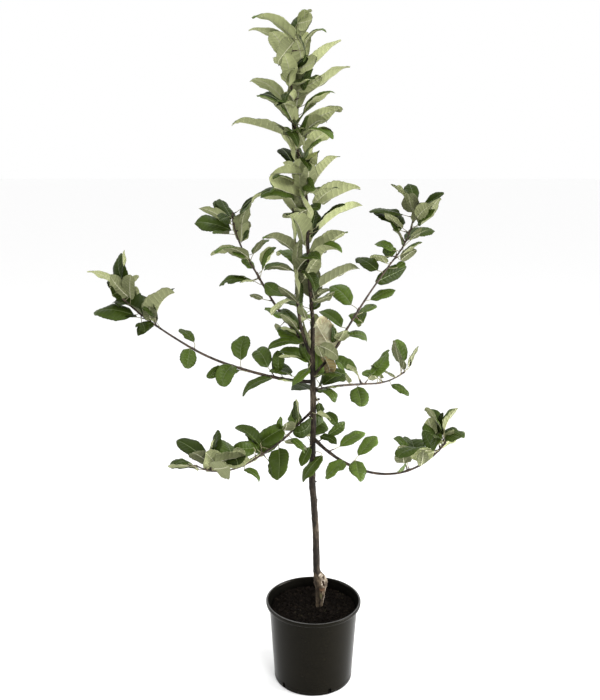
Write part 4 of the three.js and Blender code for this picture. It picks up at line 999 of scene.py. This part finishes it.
# ------------------------------------------------------------------ bark
def bark_tube(bag, name, ring_mm, sides, rng, grain, mats):
    """The stem as a closed skin with nodes, bud scars and grain. mats(z_mm or along_mm, row share, angle) picks a slot."""
    points, dist = STEMS[name]
    lo, hi = dist[0], dist[-1]
    if name == "trunk":
        stations = np.r_[np.arange(190.3, 300, 0.9), np.arange(300, 1592, ring_mm), 1592] * MM
    else:
        stations = np.r_[np.arange(0, hi / MM - 0.5, ring_mm), hi / MM] * MM
    c = at(points, dist, stations)
    along = stations / MM
    r = stem_radius(name, along)
    t = unit(np.gradient(c, axis=0))
    u = unit(np.cross(np.broadcast_to([0.0, 1, 0], t.shape), t))
    v = np.cross(t, u)
    ang = np.arange(sides) * TAU / sides
    A, L = np.meshgrid(ang, along)
    out = np.cos(A)[..., None] * u[:, None] + np.sin(A)[..., None] * v[:, None]
    P = c[:, None] + out * r[:, None, None]
    grow = np.zeros_like(A)
    # swellings and scars at the nodes
    for d, phi in node_marks[name]:
        near = np.abs(along - d) < 14
        if not near.any():
            continue
        turn = (A[near] - phi + math.pi) % TAU - math.pi
        rr = r[near][:, None] / MM
        arc = turn * rr
        dl = L[near] - d
        size = 0.34 + 0.30 * min(1.5, float(np.mean(rr)) / 4)
        grow[near] += size * np.exp(-((dl + 1.0) ** 2) / 9 - arc**2 / (3.0 + rr) ** 2 * 1.6)
        grow[near] += 0.16 * size * np.exp(-(dl**2) / 16)
    flat = P.reshape(-1, 3)
    rough = noise3(flat * [1, 1, 0.55] * 140, 11 + len(name), 3).reshape(A.shape)
    ridged = noise3(flat * [1, 1, 0.22] * 420, 23 + len(name), 3).reshape(A.shape)
    coarse = noise3(flat * [1, 1, 0.4] * 46, 31 + len(name), 2).reshape(A.shape)
    body = np.clip(r[:, None] / MM / 7, 0.12, 1)
    grow += grain * (0.30 * rough + 0.20 * ridged + 0.34 * coarse) * body
    # short cross cracks and raised pores
    for _ in range(int((hi - lo) * 1000 * (0.16 if name == "trunk" else 0.20))):
        d, phi = rng.uniform(along[0] + 2, along[-1] - 6), rng.uniform(0, TAU)
        near = np.abs(along - d) < 2.2
        turn = (A[near] - phi + math.pi) % TAU - math.pi
        arc = turn * r[near][:, None] / MM
        wide = rng.uniform(0.5, 1.9)
        grow[near] += rng.uniform(0.10, 0.26) * np.exp(-((L[near] - d) ** 2) / 0.35 - (arc / wide) ** 2) * (1 if rng.random() < 0.8 else -1)
    if name == "trunk":
        grow += union_relief(A, L, flat.reshape(*A.shape, 3))
    P = P + out * grow[..., None] * MM
    n = len(along)
    # rounded tip
    verts = P.reshape(-1, 3)
    i = np.arange(n - 1)[:, None] * sides
    j = np.arange(sides)[None]
    q = np.stack([i + j, i + (j + 1) % sides, i + sides + (j + 1) % sides, i + sides + j], -1).reshape(-1, 4)
    extra = np.array([c[0] - t[0] * (0.002 if name != "trunk" else 0.0), c[-1] + t[-1] * r[-1] * 0.9])
    b = len(verts)
    tris = [(b, (k + 1) % sides, k) for k in range(sides)] + [(b + 1, (n - 1) * sides + k, (n - 1) * sides + (k + 1) % sides) for k in range(sides)]
    m = mats(L[:-1], A[:-1], rough[:-1], ridged[:-1]).ravel()
    bag.add(np.vstack([verts, extra]), q, np.array(tris), m, np.r_[np.full(sides, m[0]), np.full(sides, m[-1])])


def bump2(L, A, radius, height, angle, tall, wide, amount, power=2):
    """A raised or sunken spot on the trunk: height in mm, angle in degrees from +X, sizes and amount in mm."""
    turn = (A - math.radians(angle) + math.pi) % TAU - math.pi
    arc = turn * radius
    return amount * np.exp(-(np.abs((L - height) / tall) ** power) - np.abs(arc / wide) ** power)


def union_relief(A, L, P):
    """The graft: a knob on the right where the rootstock was cut back, its lip, two slits, folds of callus and the shank."""
    g = np.zeros_like(A)
    R = 14
    phi = np.degrees(np.arctan2(P[..., 1] - np.interp(L, TRUNK[:, 0], TRUNK[:, 2]) * MM, P[..., 0] - np.interp(L, TRUNK[:, 0], TRUNK[:, 1]) * MM))
    phi = np.radians(phi)
    for h, a, tall, wide, amount in (
        # the knob's lobes, the two slits between them and the rolled edges of the wound
        (276, -78, 3.4, 3.4, 2.0), (271, -52, 4.0, 2.6, 1.5), (262, -12, 6.5, 6.5, 2.5), (279, -36, 3.0, 4.6, 1.1), (254, -40, 4.5, 4.0, 1.3),
        (264, -63, 3.4, 2.1, -5.0), (258, -64, 3.2, 1.8, -4.0), (273.5, -38, 2.5, 2.7, -4.6), (266, -40, 3.2, 2.6, 1.5), (262, -84, 7.0, 3.0, 1.4),
        (275, -8, 3.0, 4.0, 1.2), (270, 20, 7.0, 8.0, 1.2), (256, 60, 9.0, 9.0, 1.1), (266, 150, 10, 9.0, 1.0), (250, -110, 6.0, 6.0, -0.9),
        (272, -120, 8.0, 5.0, 0.8), (280, -95, 5.0, 2.2, -0.8), (250, -8, 2.6, 9.0, 0.7), (246, -20, 1.6, 9.0, -1.0),
        # the shank: a sunken knot, which slot 4 colours near black as painted shade, a long ridge on the right with a
        # groove beside it, and a few folds
        (238.5, -88, 2.3, 2.9, -2.6), (238.5, -88, 5.0, 5.6, 1.2), (222, -34, 22, 2.8, 1.5), (224, -58, 20, 2.2, -1.3), (216, -84, 14, 3.0, 0.8),
        (229, -128, 9.0, 2.6, -0.9), (212, -112, 10, 2.4, -0.8), (236, 12, 12, 3.0, -0.8), (222, 60, 12, 4.0, 0.9), (228, 130, 14, 4.0, 0.9),
        (199, -60, 6.0, 7.0, 0.9), (194, -150, 4.0, 9.0, 1.0), (195, 40, 4.0, 9.0, 1.0),
    ):
        g += bump2(L, phi, R, h, a, tall, wide, amount)
    flat = P.reshape(-1, 3)
    low = 1 - smooth(282, 310, L)
    g += low * 0.75 * noise3(flat * [1, 1, 0.8] * 110, 5, 4).reshape(A.shape)
    g += low * 0.42 * noise3(flat * [1, 1, 0.45] * 330, 6, 3).reshape(A.shape)
    # knots further up
    for h, a, tall, wide, amount in ((487, -60, 2.2, 14, 0.9), (482, -80, 1.2, 14, -0.5), (484, -10, 7, 6, 1.3), (520, -150, 6, 5, 1.1), (434, -160, 7, 5, 1.0), (398, -30, 5, 5, 0.9), (556, -30, 7, 6, 1.2), (598, -100, 6, 5, 1.0), (350, -140, 6, 5, 0.8), (318, -20, 7, 5, 0.8)):
        g += bump2(L, phi, 7, h, a, tall, wide, amount)
        g += bump2(L, phi, 7, h + 1, a, tall * 0.25, wide * 0.35, -amount * 0.7)
    return g


def trunk_slots(L, A, rough, ridged):
    m = np.zeros(L.shape, int)  # bark
    m[L > 980 + 60 * rough] = 3  # young wood
    phi = np.degrees((A + math.pi) % TAU - math.pi)
    pale = np.exp(-(((phi + 36) / 50) ** 4)) * smooth(288, 281, L) + 0.30 * rough + 0.2 * ridged
    m[L < 287 + 3 * rough] = 2  # shank
    m[(L < 284) & (L > 247 + 3 * rough) & (pale > 0.46)] = 1  # callus
    ridge = np.exp(-(((phi + 30) / 17) ** 2)) + 0.22 * rough
    m[(L <= 250) & (L > 200) & (ridge > 0.55)] = 1
    m[(np.abs(L - 245) < 4.5 + 2 * rough) & (phi > -118) & (phi < -46)] = 5  # torn brown bark under the knob
    m[((L - 226) / 8.5) ** 2 + ((phi + 84) / 16) ** 2 < 1 + 0.5 * rough] = 6  # a film of algae
    # Slot 4: the two slits and the knot's hollow, coloured near black as painted shade.
    m[(((L - 264) / 3.6) ** 2 + ((phi + 63) / 8.5) ** 2 < 1) | (((L - 258) / 3.6) ** 2 + ((phi + 64) / 8.0) ** 2 < 1)] = 4
    m[(((L - 273.5) / 2.7) ** 2 + ((phi + 38) / 10.5) ** 2 < 1) | (((L - 238.5) / 2.4) ** 2 + ((phi + 88) / 13) ** 2 < 1)] = 4
    return m


trunk_bag, bough_bag = Bag(), Bag()
bark_tube(trunk_bag, "trunk", 1.8, 64, np.random.default_rng(41), 1.0, trunk_slots)
for k, name in enumerate(LIMBS):
    size = 24 if name != "second_leader" else 26
    bark_tube(bough_bag, name, 1.9, size, np.random.default_rng(60 + k), 0.8, lambda L, A, r1, r2: np.where(L < 60 + 40 * r1, 0, 1))

# buds in the axils, worn stubs and short spurs
bud_bag = Bag()
for name, marks in node_marks.items():
    points, dist = STEMS[name]
    for k, (d, phi) in enumerate(marks):
        rng = np.random.default_rng(7000 + 37 * list(STEMS).index(name) + k)
        t = unit(at(points, dist, d * MM + 0.004) - at(points, dist, d * MM - 0.004))
        u, v = stem_frame(t)
        radial = math.cos(phi) * u + math.sin(phi) * v
        p = at(points, dist, d * MM) + radial * (stem_radius(name, d) * 0.8) + t * 0.0028
        size = rng.uniform(2.2, 3.4) * MM
        way = unit(t + radial * 0.45)
        s = np.linspace(0, 1, 7)
        centre = p + np.outer(s * size * 1.5, way)
        tube(bud_bag, centre, size * 0.42 * np.sqrt(np.clip(1 - (s - 0.25) ** 2 / 0.58, 0.03, 1)), 8, 0)


def knot(bag, name, d, bearing, rise, length, r0, r1, mats, rng, ragged=0.0):
    """A dead stub or spur that leaves the stem at d."""
    points, dist = STEMS[name]
    p = at(points, dist, d * MM)
    way = heading(bearing, rise)
    s = np.linspace(0, 1, 14)
    bend = unit(np.cross(way, [0, 0, 1.0])) * rng.uniform(-0.08, 0.08)
    c = p + np.outer(s * length * MM, way) + np.outer(np.sin(s * 2.4) * length * MM, bend)
    r = (r0 + (r1 - r0) * s**0.7) * (1 + 0.12 * np.sin(s * 23 + rng.uniform(0, 6))) * MM
    tube(bag, c, r, 12, mats, shape=lambda a: 1 + ragged * rng.normal(size=(14, 12)) * 0.2)


rng = np.random.default_rng(88)
knot(bud_bag, "trunk", 745, -20, 26, 17, 3.4, 2.6, 1, rng, 0.3)
knot(bud_bag, "trunk", 536, -14, 12, 11, 2.6, 1.9, 1, rng, 0.3)
knot(bud_bag, "trunk", 700, 160, 30, 12, 2.6, 1.8, 1, rng, 0.3)

for name, d, out, length in SPURS:
    points, dist = STEMS[name]
    p = at(points, dist, d * MM)
    s = np.linspace(0, 1, 12)
    c = p + np.outer(s * length, out) + np.outer(np.sin(s * math.pi) * length * 0.05, [0, 0, 1.0])
    r = (1.75 - 0.45 * s + 0.18 * np.sin(s * length / MM * 1.3)) * MM
    tube(bud_bag, c, r, 10, 0)

trunk_ob = trunk_bag.build("trunk_bark", [M_BARK, M_GRAFT, M_SHANK, M_SHOOT, M_SLIT_SHADE, M_TORN, M_ALGAE])
bough_ob = bough_bag.build("bough_bark", [M_BARK, M_SHOOT])
bud_ob = bud_bag.build("buds_and_spurs", [M_SHOOT, M_BARK])
stalk_ob = stalk_bag.build("petioles", [M_PETIOLE])
leaf_obs = {g: b.build("foliage_" + g, LEAF_MATERIALS) for g, b in leaf_bags.items()}


# ------------------------------------------------------------------ the pot
def lathe(name, profile, sides, materials, wobble=None, lip=(0, 0)):
    """A closed ring of revolution from profile points (radius, height) in mm, in order round the section."""
    pr = np.array(profile, float) * MM
    a = np.arange(sides) * TAU / sides
    v = np.stack([pr[:, None, 0] * np.cos(a), pr[:, None, 0] * np.sin(a), pr[:, None, 1] + 0 * a], -1)
    if wobble is not None:
        v = v + wobble(pr, a)
    n = len(pr)
    i, j = np.meshgrid(np.arange(n), np.arange(sides), indexing="ij")
    q = np.stack([i * sides + j, i * sides + (j + 1) % sides, ((i + 1) % n) * sides + (j + 1) % sides, ((i + 1) % n) * sides + j], -1).reshape(-1, 4)
    b = Bag()
    # Faces of the lip take slot 1, the painted highlight.
    b.add(v.reshape(-1, 3), q, None, np.where((i >= lip[0]) & (i < lip[1]), 1, np.where(i >= lip[1] + 2, 2, 0)).ravel())
    return b.build(name, materials)


def arc(cx, cz, r, a0, a1, n):
    t = np.radians(np.linspace(a0, a1, n))
    return [(cx + r * math.cos(x), cz + r * math.sin(x)) for x in t]


def wall_at(z):
    return POT["foot"] + (POT["shoulder"] - POT["foot"]) * z / 203


def pot_profile():
    """The pot's section, and where along it the lip that carries the painted highlight begins and ends."""
    rim, top = POT["rim"], POT["height"]
    out = [(0.6, 0.9), (30, 0.9), (60, 0.9), (86, 0.9), (89, 0.6), (91, 0.05), (96.0, 0)]
    out += [(98.2, 0.4), (99.5, 1.5), (wall_at(3.0), 3.0), (wall_at(3.6) + 0.35, 3.6), (wall_at(4.4), 4.4), (wall_at(9.2), 9.2), (wall_at(9.8) + 0.35, 9.8), (wall_at(10.6), 10.6)]
    for z in np.linspace(14, 198, 62):
        out.append((wall_at(z), z))
    out += [(wall_at(200.5), 200.5), (wall_at(200.5) + 0.9, 201.3), (wall_at(200.5) + 2.6, 202.0), (rim - 3.6, 202.9), (rim - 1.9, 203.6), (rim - 0.9, 204.6)]
    out += [(rim - 0.45, 206.2), (rim - 0.1, 208.6), (rim, 211.0)]
    out += arc(rim - 2.2, 211.9, 2.2, 0, 62, 6)
    lip = len(out) - 1
    out += arc(rim - 3.4, 211.6, 2.9, 74, 118, 6)
    end = len(out) - 1
    out += [(rim - 5.6, 212.9), (rim - 6.5, 210.9), (rim - 7.4, 208.0), (rim - 8.2, 205.0), (wall_at(201) - 1.7, 201.5), (wall_at(198) - 2.2, 197)]
    for z in np.linspace(192, 6, 16):
        out.append((wall_at(z) - 2.2, z))
    out += [(97.6, 3.9), (96.1, 3.2), (60, 3.2), (30, 3.2), (0.6, 3.2)]
    return out, lip, end


def pot_wobble(pr, a):
    """Moulded plastic is never quite round: a slow warp that grows to the rim, well under a millimetre."""
    amount = 0.0007 * smooth(0.02, 0.215, pr[:, 1])[:, None]
    w = amount * (np.cos(2 * a + 0.7) + 0.5 * np.cos(3 * a - 1.1) - 0.9)[None]
    return np.stack([w * np.cos(a), w * np.sin(a), 0 * w + 0.0005 * smooth(0.2, 0.215, pr[:, 1])[:, None] * (np.sin(2 * a)[None] - 1)], -1)


section, lip_from, lip_to = pot_profile()
# The pot's inside takes slot 2, the painted shade.
pot_ob = lathe("pot_shell", section, 192, [M_POT, M_RIM_HIGHLIGHT, M_POT_IN_SHADE], pot_wobble, (lip_from, lip_to))
cut = Bag()
for k in range(POT["slots"]):
    a0 = math.radians(POT["slot_turn"] + 360 / POT["slots"] * k)
    c, s = math.cos(a0), math.sin(a0)
    w, h = POT["slot_width"] / 2, POT["slot_height"]
    out = []
    prof = [(-w, 1.2), (w, 1.2), (w, h - 3.0), (w - 0.9, h - 1.1), (w - 2.8, h), (-w + 2.8, h), (-w + 0.9, h - 1.1), (-w, h - 3.0)]
    for rad in (90.0, 108.0):
        out += [(rad * c - x * s, rad * s + x * c, z) for x, z in prof]
    q = [(i, (i + 1) % 8, 8 + (i + 1) % 8, 8 + i) for i in range(8)]
    ends = [(0, k2 + 1, k2) for k2 in range(1, 7)] + [(8, 8 + k2, 9 + k2) for k2 in range(1, 7)]
    cut.add(np.array(out) * MM, q, ends)
cutter = cut.build("slot_cutter", [])
bm = bmesh.new()
bm.from_mesh(cutter.data)
bmesh.ops.recalc_face_normals(bm, faces=bm.faces)
bm.to_mesh(cutter.data)
bm.free()
for ob in (pot_ob,):
    bm = bmesh.new()
    bm.from_mesh(ob.data)
    bmesh.ops.recalc_face_normals(bm, faces=bm.faces)
    bm.to_mesh(ob.data)
    bm.free()
mod = pot_ob.modifiers.new("slots", "BOOLEAN")
mod.operation, mod.solver, mod.object = "DIFFERENCE", "EXACT", cutter
bpy.context.view_layer.update()
done = bpy.data.meshes.new_from_object(pot_ob.evaluated_get(bpy.context.evaluated_depsgraph_get()))
pot_ob.modifiers.clear()
pot_ob.data = done
bpy.data.objects.remove(cutter)
for p in done.polygons:
    p.use_smooth = True
done.set_sharp_from_angle(angle=math.radians(38))

# ------------------------------------------------------------------ the potting mix
srng = np.random.default_rng(7)
soil_r = wall_at(SOIL) - 2.7
rings, seg = 74, 220
rad = soil_r * np.linspace(0, 1, rings) ** 0.85
aa = np.arange(seg) * TAU / seg
X, Y = rad[:, None] * np.cos(aa), rad[:, None] * np.sin(aa)
flat = np.stack([X.ravel(), Y.ravel(), 0 * X.ravel()], -1)


def soil_height(xy):
    p = np.c_[np.asarray(xy, float).reshape(-1, 2), np.zeros(np.asarray(xy).reshape(-1, 2).shape[0])]
    r = np.hypot(p[:, 0], p[:, 1])
    z = 1.5 * noise3(p / 62, 3, 3) + 1.5 * noise3(p / 21, 4, 3) + 0.9 * noise3(p / 8, 9, 2)
    near = np.hypot(p[:, 0] - 16, p[:, 1] - 6)
    z += 3.2 * np.exp(-((near / 24) ** 2)) - 1.2 * smooth(88, 108, r)
    return SOIL - 0.6 + z


Z = soil_height(flat[:, :2]).reshape(X.shape)
v = np.stack([X, Y, Z], -1).reshape(-1, 3)
skirt = np.stack([(wall_at(4.2) - 3.0) * np.cos(aa), (wall_at(4.2) - 3.0) * np.sin(aa), np.full(seg, 3.5)], -1)
v = np.vstack([v, skirt, [[0, 0, 3.5]]])
i, j = np.meshgrid(np.arange(rings - 1), np.arange(seg), indexing="ij")
q = np.stack([i * seg + j, (i + 1) * seg + j, (i + 1) * seg + (j + 1) % seg, i * seg + (j + 1) % seg], -1).reshape(-1, 4)
o, s0 = (rings - 1) * seg, rings * seg
side = np.stack([o + np.arange(seg), s0 + np.arange(seg), s0 + (np.arange(seg) + 1) % seg, o + (np.arange(seg) + 1) % seg], -1)
under = [(s0 + seg, s0 + (k + 1) % seg, s0 + k) for k in range(seg)]
soil_bag = Bag()
soil_bag.add(v * MM, np.vstack([q, side]), np.array(under), 0, 0)


def chip(bag, centre, size, flatness, longness, rng, mat):
    """A torn crumb of bark or peat: an uneven five-sided prism, tipped any way."""
    n = 5
    a = np.sort(rng.uniform(0, TAU, n)) * 0.4 + np.arange(n) * TAU / n * 0.6
    r = rng.uniform(0.7, 1.25, (2, n))
    lo = np.stack([np.cos(a) * r[0] * longness, np.sin(a) * r[0], np.full(n, -flatness)], -1)
    hi = np.stack([np.cos(a + 0.2) * r[1] * longness * 0.85, np.sin(a + 0.2) * r[1] * 0.85, rng.uniform(0.5, 1.3, n) * flatness], -1)
    v = np.vstack([lo, hi, [[0, 0, flatness * 1.4], [0, 0, -flatness * 1.3]]]) * size / 2
    ax, ay, az = rng.uniform(-0.6, 0.6), rng.uniform(-0.6, 0.6), rng.uniform(0, TAU)
    cz, sz = math.cos(az), math.sin(az)
    rz = np.array([[cz, -sz, 0], [sz, cz, 0], [0, 0, 1]])
    rx = np.array([[1, 0, 0], [0, math.cos(ax), -math.sin(ax)], [0, math.sin(ax), math.cos(ax)]])
    ry = np.array([[math.cos(ay), 0, math.sin(ay)], [0, 1, 0], [-math.sin(ay), 0, math.cos(ay)]])
    v = v @ (rz @ rx @ ry).T + centre
    q = [(k, (k + 1) % n, n + (k + 1) % n, n + k) for k in range(n)]
    t = [(2 * n, n + k, n + (k + 1) % n) for k in range(n)] + [(2 * n + 1, (k + 1) % n, k) for k in range(n)]
    bag.add(v, np.array(q), np.array(t), mat, mat)


chip_bag = Bag()
for k in range(4200):
    rr, th = (soil_r - 3) * math.sqrt(srng.random()), srng.uniform(0, TAU)
    x, y = rr * math.cos(th), rr * math.sin(th)
    if math.hypot(x - 16, y - 6) < 11.5:
        continue
    size = srng.choice([2.2, 3.2, 4.6, 7.0, 10.0], p=[0.38, 0.30, 0.19, 0.10, 0.03])
    pale = srng.random()
    mat = 0 if pale < 0.72 else 1 if pale < 0.955 else 2
    if mat == 2:
        size = min(size, 4.6)
    z = float(soil_height([[x, y]])[0])
    chip(chip_bag, np.array([x, y, z + size * srng.uniform(-0.05, 0.16)]) * MM, size * MM, srng.uniform(0.25, 0.6), srng.uniform(1.0, 2.1), srng, mat)
soil_ob = soil_bag.build("potting_mix_bed", [M_SOIL])
chip_ob = chip_bag.build("potting_mix_chips", M_CHIP, smooth_shade=False)

# ------------------------------------------------------------------ into the frame
MASS_NODES = sorted(o.name for o in bpy.data.objects if o.name.startswith("leaves_"))


def settle(ob, slot, *nodes):
    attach(ob, "root")
    if nodes:
        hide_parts(*nodes)


settle(trunk_ob, "bark", "trunk")
settle(bough_ob, "bark", "second_leader", "bough_left_low", "bough_right_low_inner", "bough_right_low_outer", "bough_left_mid", "bough_right_mid", "bough_right_high", "bough_left_high", "bough_back")
settle(bud_ob, "young_wood")
settle(stalk_ob, "leaves")
settle(leaf_obs["leader_high"], "leaves", *["leaves_leader_%02d" % k for k in range(9, 15)])
settle(leaf_obs["leader_mid"], "leaves", *["leaves_leader_%02d" % k for k in range(5, 9)])
settle(leaf_obs["leader_low"], "leaves", *["leaves_leader_%02d" % k for k in range(1, 5)], "leaves_second_leader_1")
settle(leaf_obs["left_low"], "leaves", *[n for n in MASS_NODES if "_left_low" in n or "_left_mid" in n])
settle(leaf_obs["left_high"], "leaves", *[n for n in MASS_NODES if "_left_high" in n])
settle(leaf_obs["right_low"], "leaves", *[n for n in MASS_NODES if "_right_low" in n or "_right_mid" in n])
settle(leaf_obs["right_high"], "leaves", *[n for n in MASS_NODES if "_right_high" in n])
settle(leaf_obs["back"], "leaves", "leaves_back_1", "leaves_back_2")
settle(pot_ob, "pot_plastic", "pot")
settle(soil_ob, "potting_mix", "potting_mix")
settle(chip_ob, "potting_mix")

# ------------------------------------------------------------------ floor, light, camera
m, nt, nodes, links, bsdf = nodes_of("studio_floor")
bsdf.inputs["Base Color"].default_value = (0.975, 0.975, 0.975, 1)
bsdf.inputs["Roughness"].default_value = 0.9
bsdf.inputs["Specular IOR Level"].default_value = 0.1
gx = np.linspace(-30, 30, 21)
v = np.stack([*np.meshgrid(gx, gx), np.zeros((21, 21))], -1).reshape(-1, 3)
i, j = np.meshgrid(np.arange(20), np.arange(20), indexing="ij")
q = np.stack([i * 21 + j, i * 21 + j + 1, (i + 1) * 21 + j + 1, (i + 1) * 21 + j], -1).reshape(-1, 4)
fb = Bag()
fb.add(v, q)
floor = fb.build("studio_floor", [m])

world = bpy.data.worlds.new("studio")
bpy.context.scene.world = world
world.use_nodes = True
world.node_tree.nodes["Background"].inputs[0].default_value = (1.0, 1.0, 1.0, 1)
world.node_tree.nodes["Background"].inputs[1].default_value = 1.0


def area(name, location, target, size, power, spread=180):
    d = bpy.data.lights.new(name, "AREA")
    d.shape = "RECTANGLE"
    d.size, d.size_y = size
    d.energy = power
    d.spread = math.radians(spread)
    ob = bpy.data.objects.new(name, d)
    bpy.context.scene.collection.objects.link(ob)
    ob.location = location
    ob.rotation_euler = (Vector(target) - Vector(location)).to_track_quat("-Z", "Y").to_euler()
    ob.visible_camera = False
    return ob


area("key", (1.3, -2.7, 3.0), (0, 0, 0.9), (1.2, 1.2), 56)
area("right_box", (1.75, -0.42, 0.35), (0, 0, 0.12), (1.15, 1.1), 20, 80)
area("left_box", (-1.8, -0.15, 0.35), (0, 0, 0.12), (0.8, 1.1), 2.7, 80)
area("top", (-0.3, 0.8, 4.0), (0, 0, 0.8), (1.6, 1.6), 34)

cam = bpy.data.cameras.new("camera")
cam_ob = bpy.data.objects.new("camera", cam)
bpy.context.scene.collection.objects.link(cam_ob)
cam.lens = 44.33
cam.sensor_width = cam.sensor_height = 36
cam.sensor_fit = "AUTO"
cam_ob.location = (-0.034, -2.0, 1.358)
cam_ob.rotation_euler = (math.radians(90 - 13.66), 0, 0)
cam.clip_end = 60
bpy.context.scene.camera = cam_ob
bpy.context.scene.view_settings.view_transform = "Standard"

bpy.context.view_layer.update()
print("triangles", {o.name: sum(len(p.vertices) - 2 for p in o.data.polygons) for o in [trunk_ob, bough_ob, bud_ob, stalk_ob, *leaf_obs.values(), pot_ob, soil_ob, chip_ob]})
